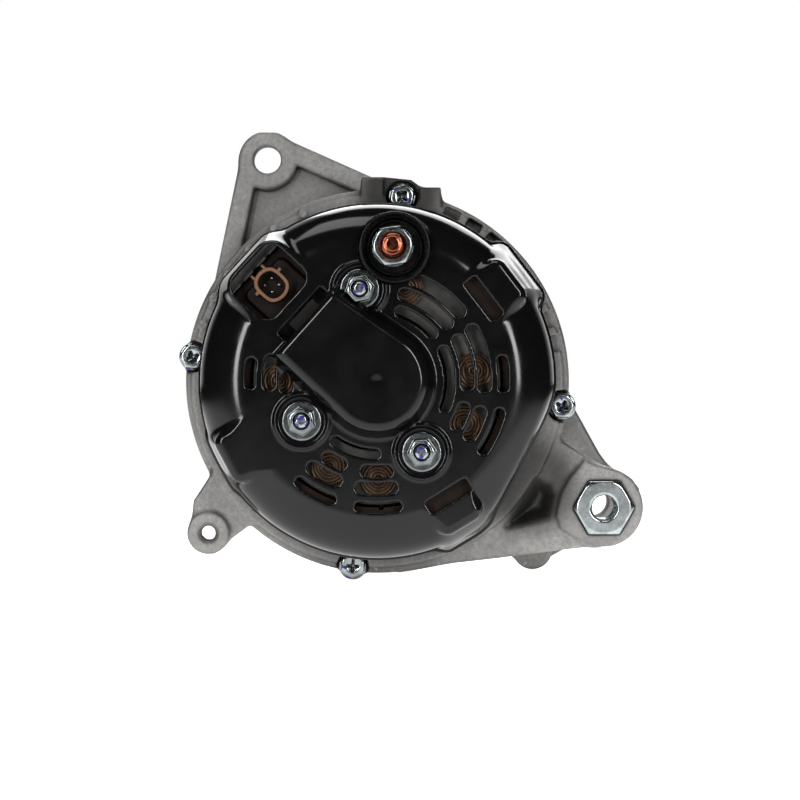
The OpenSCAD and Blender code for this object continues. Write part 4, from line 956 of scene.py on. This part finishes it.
def diode_cup(name, reach, angles):
    """Turned copper cups, brown and painted much darker as painted shade inside the cover, with rings round
    the middle of each diode.
    """
    m = Nodes(name)
    nearest = 1.0
    for angle in map(math.radians, angles):
        nearest = m.math("MINIMUM", nearest, m.away(reach * math.cos(angle), reach * math.sin(angle)))
    ring = m.math("SINE", m.math("MULTIPLY", nearest, 2 * math.pi / (RING_PITCH * MM)))
    # Brown copper, darkened well below its own colour as painted shade.
    base = m.clouds(5, ((0.032, 0.02, 0.013), (0.06, 0.039, 0.026)))
    base = m.mix(m.span(ring, 0.1, 0.95, 0.0, 0.38), base, (0.2, 0.135, 0.085))
    # Painted shade: darker in crevices.
    base = m.mix(m.crevice_shade(2.5, 0.7), base, (0.006, 0.004, 0.003))
    return m.finish(base, 1.0, m.uneven(2.5, 0.32, 0.46), m.bump(ring, 0.1, 0.6))


def plastic(name, low, high, rough_low=0.38, rough_high=0.52, grain=0.5):
    m = Nodes(name)
    base = m.clouds(7, (low, high))
    # Painted shade: darker in crevices.
    base = m.mix(m.crevice_shade(3, 0.6), base, scaled(low, 0.3))
    base = m.mix(m.edges(0.53, 0.65, 0.4), base, scaled(high, 1.6, 0.004))
    return m.finish(base, 0.0, m.uneven(3, rough_low, rough_high, 2, 0.5),
                    m.bump(m.noise(grain), 0.03, 0.5), Specular_IOR_Level=PLASTIC_SHEEN)


def depth_shaded_moulding(name, deep, outer):
    """A moulding painted dark inside the opening as painted shade, and in its own lighter colour at its
    outer end.
    """
    m = Nodes(name)
    # Painted shade: dark deep inside the opening, its own colour towards the outer end.
    base = m.mix(m.span(m.axis(1), -SHADE_START_D * MM, -(SHADE_START_D + SHADE_RUN) * MM), deep, outer)
    base = m.mix(m.span(m.noise(5), 0.45, 0.75, 0.0, 0.12), base, scaled(outer, 0.5))
    # Painted shade: darker in crevices.
    base = m.mix(m.crevice_shade(2.5, 0.7), base, scaled(deep, 0.3))
    return m.finish(base, 0.0, m.uneven(3, 0.4, 0.54, 2, 0.5), m.bump(m.noise(0.5), 0.03, 0.5),
                    Specular_IOR_Level=PLASTIC_SHEEN)


def laminated(name):
    """Stacked steel sheets with a thin coat of varnish."""
    m = Nodes(name)
    line = m.layers(SHEET_PITCH)
    base = m.clouds(10, ((0.16, 0.155, 0.15), (0.26, 0.25, 0.245)), SPREAD)
    base = m.mix(m.span(line, 0.36, 0.5, 0.0, 0.6), base, (0.05, 0.045, 0.04))
    base = m.mix(m.span(m.noise(5, 4, 0.7), 0.6, 0.75, 0.0, 0.35), base, (0.22, 0.1, 0.04))
    return m.finish(base, 0.85, m.uneven(10, 0.38, 0.55), m.bump(line, 0.06, 0.8))


def wound(name, pitch, low, high):
    """Close turns of enamelled wire around the shaft."""
    m = Nodes(name)
    crown = m.layers(pitch)
    base = m.mix(m.span(crown, 0.1, 0.5), high, low)
    base = m.mix(m.span(m.noise(4), 0.5, 0.7, 0.0, 0.4), base, scaled(low, 0.5))
    normal = m.bump(m.math("SUBTRACT", 0.5, crown), pitch * 0.5, 1.0)
    return m.finish(base, 0.7, 0.32, normal, Coat_Weight=0.6, Coat_Roughness=0.15)


# Spots of painted shade on the rear casting: x, z, reach and strength
PAINTED_SHADE_SPOTS = ((8.0, 68.0, 21.0, 0.95), (55.0, -37.0, 23.0, 0.8))
CAST = cast_metal("cast_aluminium_grain")
CAST_REAR = cast_metal("cast_aluminium_painted_shade", PAINTED_SHADE_SPOTS)
BLACK = black_gloss("black_gloss_coat")
ZINC = zinc("zinc_plate")
ZINC_BOLT = zinc("zinc_plate_marked", (3.5, 0.6, 0.66))
# A darker copy of the zinc plate, painted shade for the nuts in the cover's recesses.
ZINC_NUT = zinc("zinc_plate_painted_shade", None, 0.62)
# A lighter copy of the zinc plate, painted light on the bush in the lower lug.
ZINC_BUSH = zinc("zinc_plate_painted_light", None, 1.18)
STUD_PAINT = zinc("stud_steel_painted", (2.0, 0.52, 0.58))
STEEL = metal("plain_steel", (0.33, 0.33, 0.34), (0.46, 0.46, 0.47), 0.28, 0.42)
BRIGHT = metal("ground_steel", (0.55, 0.56, 0.57), (0.68, 0.69, 0.7), 0.14, 0.24, 0.3)
BALL = metal("polished_ball", (0.7, 0.71, 0.72), (0.78, 0.79, 0.8), 0.06, 0.1, 0.3)
# Heat sinks and fins: aluminium painted nearly black as painted shade inside the cover.
SINK = metal("sink_aluminium", (0.058, 0.057, 0.053), (0.092, 0.09, 0.084), 0.42, 0.55, 0.6)
FAN = metal("pressed_fan_steel", (0.42, 0.42, 0.42), (0.54, 0.54, 0.54), 0.3, 0.44, 0.6)
POSITIVE_CUP = diode_cup("copper_cup_outer", 34.0, (73, 6, -26, -89, -119, 180))
NEGATIVE_CUP = diode_cup("copper_cup_inner", 44.0, (62, 22, -10, -45, -88, -150))
STUD_COPPER = metal("copper_plated_stud", (0.3, 0.08, 0.042), (0.46, 0.145, 0.085), 0.12, 0.22)
BRASS = metal("pressed_brass", (0.5, 0.36, 0.14), (0.66, 0.5, 0.22), 0.25, 0.38, 0.4)
TIN = metal("tinned_contact", (0.3, 0.29, 0.25), (0.42, 0.4, 0.35), 0.2, 0.32, 0.3)
IRON = metal("forged_pole_iron", (0.1, 0.1, 0.105), (0.2, 0.2, 0.205), 0.45, 0.62, 1.2)
HAIRPIN = metal("enamelled_bars", (0.4, 0.15, 0.05), (0.6, 0.26, 0.1), 0.24, 0.36, 0.6)
LAMINATED = laminated("core_laminations")
WOUND = wound("field_wire", 0.9, (0.3, 0.1, 0.03), (0.56, 0.22, 0.08))
# Brown moulding, darkened below its own colour as painted shade inside the cover.
DARK_BROWN = plastic("brown_moulding", (0.014, 0.006, 0.0035), (0.028, 0.012, 0.007))
HOLDER = plastic("brush_holder_moulding", (0.006, 0.005, 0.004), (0.012, 0.009, 0.007))
# Connector moulding: light brown, painted dark as painted shade inside the opening.
LIGHT_BROWN = depth_shaded_moulding("connector_moulding", (0.01, 0.005, 0.0035), (0.26, 0.135, 0.08))
BLACK_PLASTIC = plastic("black_moulding", (0.0035, 0.0035, 0.0038), (0.006, 0.006, 0.0063), 0.2, 0.3)
NYLON = plastic("natural_nylon", (0.56, 0.5, 0.38), (0.66, 0.6, 0.47), 0.35, 0.5)
SEAL = plastic("nitrile_seal", (0.012, 0.012, 0.013), (0.03, 0.03, 0.03), 0.5, 0.65)
CARBON = plastic("carbon_brush", (0.025, 0.025, 0.026), (0.06, 0.06, 0.062), 0.5, 0.65, 0.3)
PULLEY = metal("pulley_black_oxide", (0.045, 0.045, 0.048), (0.1, 0.1, 0.105), 0.32, 0.46, 0.8)

# The nodes that each material goes on
CAD_LOOKS = (
    (LAMINATED, "stator_core"), (HAIRPIN, "stator_leads"), (BALL, "front_bearing_balls rear_bearing_balls"),
    (ZINC, "retainer_screws b_terminal_washer pulley_nut"), (PULLEY, "pulley"),
    (STEEL, "bearing_retainer bearing_spacer pulley_spacer"), (STUD_COPPER, "slip_rings"),
    (BRIGHT, "front_bearing_outer front_bearing_inner rear_bearing_outer rear_bearing_inner rotor_shaft"),
    (SEAL, "front_bearing_shields rear_bearing_shields"), (BRASS, "front_bearing_cage rear_bearing_cage"),
    (NYLON, "rear_bearing_sleeve coil_bobbin"), (NEGATIVE_CUP, "negative_diodes"),
    (SINK, "negative_heat_sink positive_heat_sink regulator_fin"), (POSITIVE_CUP, "positive_diodes"),
    (DARK_BROWN, "terminal_block insulating_bushes"), (TIN, "connector_pins"), (HOLDER, "brush_holder"),
    (BLACK_PLASTIC, "slip_ring_cover slip_ring_sleeve"), (CARBON, "brush_1 brush_2"), (WOUND, "field_coil"),
    (IRON, "front_claw_pole rear_claw_pole"), (FAN, "front_fan rear_fan"),
)
EDGE_BEVEL = 0.25
BEVEL_ANGLE = 32


def soften(obj, name):
    """Rounds the edges of an object with a small bevel."""
    bevel = obj.modifiers.new(name, "BEVEL")
    bevel.width = EDGE_BEVEL * MM
    bevel.segments = 2
    return bevel


def dress(obj, material):
    """Gives a CAD node its material and softens its edges with modifiers."""
    obj.data.materials.clear()
    obj.data.materials.append(material)
    obj.data.polygons.foreach_set("use_smooth", np.full(len(obj.data.polygons), True))
    obj.modifiers.new("weld", "WELD").merge_threshold = 1e-6
    bevel = soften(obj, "soft_edges")
    bevel.limit_method = "ANGLE"
    bevel.angle_limit = math.radians(BEVEL_ANGLE)
    bevel.use_clamp_overlap = True
    obj.modifiers.new("face_normals", "WEIGHTED_NORMAL").keep_sharp = True


# --- Pieces made from distance fields ---

COARSE = 1.0
STUD_SPOTS = [(*stud, turn) for stud, turn in zip(STUDS, (12, 38, 5))]
BOLT_SPOTS = [
    (BOLT_R * math.cos(math.radians(a)), BOLT_R * math.sin(math.radians(a)), a * 1.7)
    for a in BOLT_ANGLES
]
# Each fills its CAD node's box: name, field, node, material, slot and grid step
SHELLS = (
    ("rear_cover_shell", cover_field, "rear_cover", BLACK, "black_paint", 0.55),
    ("rear_housing_casting", rear_field, "rear_housing", CAST_REAR, "cast_aluminium", 0.7),
    ("front_housing_casting", front_field, "front_housing", CAST, "cast_aluminium", 0.8),
    ("terminal_cup", b_cup_field, "b_terminal_insulator", BLACK_PLASTIC, "black_plastic", 0.2),
    ("regulator_moulding", regulator_field, "regulator", LIGHT_BROWN, "connector_plastic", 0.35),
)
# Meshed once around an axis: name, field, half width, depths, grid step, places, material, node,
# body and slot
FASTENERS = (
    ("cover_flange_nuts", cover_nut_field, 7.2, (FLOOR_D, FLOOR_D + 7), 0.28, STUD_SPOTS,
     ZINC_NUT, "cover_nuts", "housing", "zinc_steel"),
    ("rectifier_stud_threads", cover_stud_field, 2.8, (STUD_START_D, STUD_END_D), 0.3, STUD_SPOTS,
     STUD_PAINT, "rectifier_studs", "housing", "dark_steel"),
    ("through_bolt_set", bolt_field, 5.3, (BOLT_START_D, BOLT_TOP_D), 0.3, BOLT_SPOTS,
     ZINC_BOLT, "through_bolts", "housing", "zinc_steel"),
    ("terminal_hex_nut", b_nut_field, 7.7, B_NUT_SPAN, 0.25, [(*B_STUD, 8)],
     ZINC, "b_terminal_nut", "housing", "zinc_steel"),
    ("terminal_stud_thread", b_stud_field, 7.2, B_STUD_SPAN, 0.25, [(*B_STUD, 0)],
     STUD_COPPER, "b_terminal_stud", "housing", "stud_copper"),
    ("lug_hex_bush", bush_field, 11.2, BUSH_SPAN, 0.3, [(*LUG, 0)],
     ZINC_BUSH, "mount_bush", "mount_bush", "zinc_steel"),
)

for name, field, node, material, slot, step in SHELLS:
    low, high = node_box(node)
    points, faces = surface_net(field, low, high, step * COARSE)
    points = clip(points, np.array(low), np.array(high))
    settle_in(new_mesh(name, to_frame(points), faces), material, "housing", node)
for name, field, half, (near, far), step, places, material, node, body, slot in FASTENERS:
    points, faces = surface_net(field, (-half, -half, near), (half, half, far), step * COARSE)
    points, faces = placed_copies(points, faces, places)
    settle_in(new_mesh(name, to_frame(points), faces), material, body, node)


# --- Winding and springs ---

WINDING_SLOTS = 48
LAYERS = 4
LAYER_R = 52.8
LAYER_PITCH = 2.1
BAR_WIDTH = 2.7
BAR_THICK = 1.6
HAIRPIN_REACH = 3  # slots that an end turn leans across
# Stations of a leg after its staggered end: share of the lean and depth
LEG_STATIONS = ((0.45, 32.6), (0, 35.2), (0, 54), (0, 72.2), (0.5, 74.2), (1, 76.2), (1, 78.0))
SPRING_INNER = 25.3
SPRING_OUTER = 34.4
SPRING_R = 1.7
SPRING_TURNS = 7
TURN_STEPS = 24
SPRING_WIRE_R = 0.28
WIRE_SIDES = 8


def spokes(angle):
    """Unit vectors outwards along an angle and around from it, as x, z, depth."""
    a = math.radians(angle)
    return np.array((math.cos(a), math.sin(a), 0)), np.array((-math.sin(a), math.cos(a), 0))


def tube_faces(rings, sides, base=0):
    """Quads between neighbouring rings of points."""
    return [
        [row + k, row + (k + 1) % sides, row + sides + (k + 1) % sides, row + sides + k]
        for row in range(base, base + (rings - 1) * sides, sides) for k in range(sides)
    ]


def bar_path(path, base):
    """A flat bar along (radius, angle, depth) stations. Its faces count points from base."""
    rings = []
    for radius, angle, depth in path:
        out, side = spokes(angle)
        centre = out * radius + np.array((0, 0, depth))
        corners = ((-1, -1), (1, -1), (1, 1), (-1, 1))
        rings += [centre + out * BAR_THICK / 2 * i + side * BAR_WIDTH / 2 * j for i, j in corners]
    last = base + 4 * (len(path) - 1)
    ends = [[base + 3, base + 2, base + 1, base], [last + k for k in range(4)]]
    return rings, tube_faces(len(path), 4, base) + ends


def winding():
    pitch = 360 / WINDING_SLOTS
    points, faces = [], []
    for i in range(WINDING_SLOTS):
        for layer in range(LAYERS):
            lean = HAIRPIN_REACH * pitch * (1 if layer % 2 else -1)
            start = (0.95, 30.4 + (layer % 2) * 0.7)
            path = [(LAYER_R + layer * LAYER_PITCH, i * pitch + lean * share, depth)
                    for share, depth in (start, *LEG_STATIONS)]
            more_points, more_faces = bar_path(path, len(points))
            points += more_points
            faces += more_faces
    obj = new_mesh("hairpin_winding", to_frame(points), faces, False)
    settle_in(obj, HAIRPIN, "housing", "stator_winding")
    soften(obj, "bar_edges")


def coil_spring(name, node, depth):
    """A round wire spring between a brush and the end of its holder."""
    out, side = spokes(PLUG_ANGLE)
    deep = np.array((0, 0, 1.0))
    rows = SPRING_TURNS * TURN_STEPS
    run = SPRING_OUTER - SPRING_INNER - 2 * SPRING_WIRE_R
    points = []
    for i in range(rows + 1):
        turn = 2 * math.pi * SPRING_TURNS * i / rows
        spoke = side * math.cos(turn) + deep * math.sin(turn)
        reach = SPRING_INNER + SPRING_WIRE_R + run * i / rows
        centre = out * reach + spoke * SPRING_R + deep * depth
        for k in range(WIRE_SIDES):
            b = 2 * math.pi * k / WIRE_SIDES
            points.append(centre + SPRING_WIRE_R * (spoke * math.cos(b) + out * math.sin(b)))
    obj = new_mesh(name, to_frame(points), tube_faces(rows + 1, WIRE_SIDES))
    settle_in(obj, BRIGHT, "housing", node)
    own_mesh(obj)


winding()
coil_spring("spring_wire_1", "brush_spring_1", 110.5)
coil_spring("spring_wire_2", "brush_spring_2", 118.5)
for look, names in CAD_LOOKS:
    for node_name in names.split():
        dress(nodes[node_name], look)


# --- Floor, light and camera ---

# The room's light from in front of the object to behind it
ROOM_RAMP = {"From Min": 0.55, "From Max": 0.95, "To Min": 0.012, "To Max": 0.8}
LIGHT_AIM = (0, -0.07, 0)
# Name, place, width and height, power
LIGHTS = (
    ("left_strip", (-0.5, -1.3, 0.24), (0.2, 0.7), 5.0),
    ("right_strip", (0.52, -1.3, 0.28), (0.2, 0.6), 4.3),
    ("top", (-0.15, -0.35, 1.1), (0.9, 0.5), 3.8),
    ("low_right", (0.9, -0.7, -0.15), (0.5, 0.12), 5),
    ("behind", (0.2, 1.0, 0.8), (1.0, 0.8), 8),
)
FLOOR_HALF = 6.0
TABLE_Y = (-0.52, -0.2)
TABLE_X = (0.15, 0.75)
TABLE_GLOW = 0.8
CAMERA_RANGE = 1.35
CAMERA_X = 8.06 * MM
CAMERA_Z = -3.1 * MM
CAMERA_SHIFT = -0.0125
FRAME_WIDTH = 0.284
SENSOR = 36.0


def set_world():
    """White behind the object and a dark room behind the camera."""
    world = bpy.data.worlds.new("studio")
    bpy.context.scene.world = world
    world.use_nodes = True
    tree = world.node_tree
    tree.nodes.clear()
    coords, split, ramp, light_path, mix, background, output = (
        tree.nodes.new("ShaderNode" + kind) for kind in
        ("TexCoord", "SeparateXYZ", "MapRange", "LightPath", "Mix", "Background", "OutputWorld")
    )
    ramp.interpolation_type = "SMOOTHSTEP"
    for key, value in ROOM_RAMP.items():
        ramp.inputs[key].default_value = value
    mix.inputs[3].default_value = 1.0
    background.inputs["Color"].default_value = (1, 1, 1, 1)
    for start, end in (
        (coords.outputs["Generated"], split.inputs[0]), (split.outputs["Y"], ramp.inputs["Value"]),
        (light_path.outputs["Is Camera Ray"], mix.inputs[0]), (ramp.outputs[0], mix.inputs[2]),
        (mix.outputs[0], background.inputs["Strength"]), (background.outputs[0], output.inputs[0]),
    ):
        tree.links.new(start, end)


def area_light(name, place, size, power):
    data = bpy.data.lights.new(name, "AREA")
    data.shape = "RECTANGLE"
    data.size, data.size_y = size
    data.energy = power
    lamp = new_object(name, data)
    lamp.location = place
    lamp.rotation_euler = (Vector(LIGHT_AIM) - Vector(place)).to_track_quat("-Z", "Y").to_euler()


def add_floor(lowest):
    """A pale floor that glows in front of the object, and is dark to each side of it."""
    ends = ((-1, -1), (1, -1), (1, 1), (-1, 1))
    points = [(x * FLOOR_HALF, y * FLOOR_HALF, lowest) for x, y in ends]
    floor = new_mesh("floor", points, [(0, 1, 2, 3)], False)
    m = Nodes("pale_floor")
    camera_ray = m.add("ShaderNodeLightPath").outputs["Is Camera Ray"]
    near = m.span(m.math("ABSOLUTE", m.axis(0)), *TABLE_X, 1.0, 0.0)
    table = m.math("MULTIPLY", m.span(m.axis(1), *TABLE_Y, 0.0, TABLE_GLOW), near)
    pale = m.mix(m.noise(400, 2, 0.55), (0.86, 0.86, 0.86), (0.9, 0.9, 0.9))
    base = m.mix(m.math("MAXIMUM", near, camera_ray), (0.02, 0.02, 0.02), pale)
    m.finish(base, 0.0, 0.8, Emission_Color=(1.0, 1.0, 1.0),
             Emission_Strength=m.math("MAXIMUM", table, camera_ray), Specular_IOR_Level=0.0)
    floor.data.materials.append(m.material)


def add_camera():
    data = bpy.data.cameras.new("camera")
    data.sensor_width = SENSOR
    data.lens = SENSOR * CAMERA_RANGE / FRAME_WIDTH
    data.shift_y = CAMERA_SHIFT
    data.clip_start = 0.05
    data.clip_end = 30
    camera = new_object("camera", data)
    camera.location = (CAMERA_X, -RIM_D * MM - CAMERA_RANGE, CAMERA_Z)
    camera.rotation_euler = (math.radians(90), 0, 0)
    bpy.context.scene.camera = camera


set_world()
add_floor(cad_box[0][2])
for light in LIGHTS:
    area_light(*light)
add_camera()
bpy.context.scene.view_settings.view_transform = "Standard"
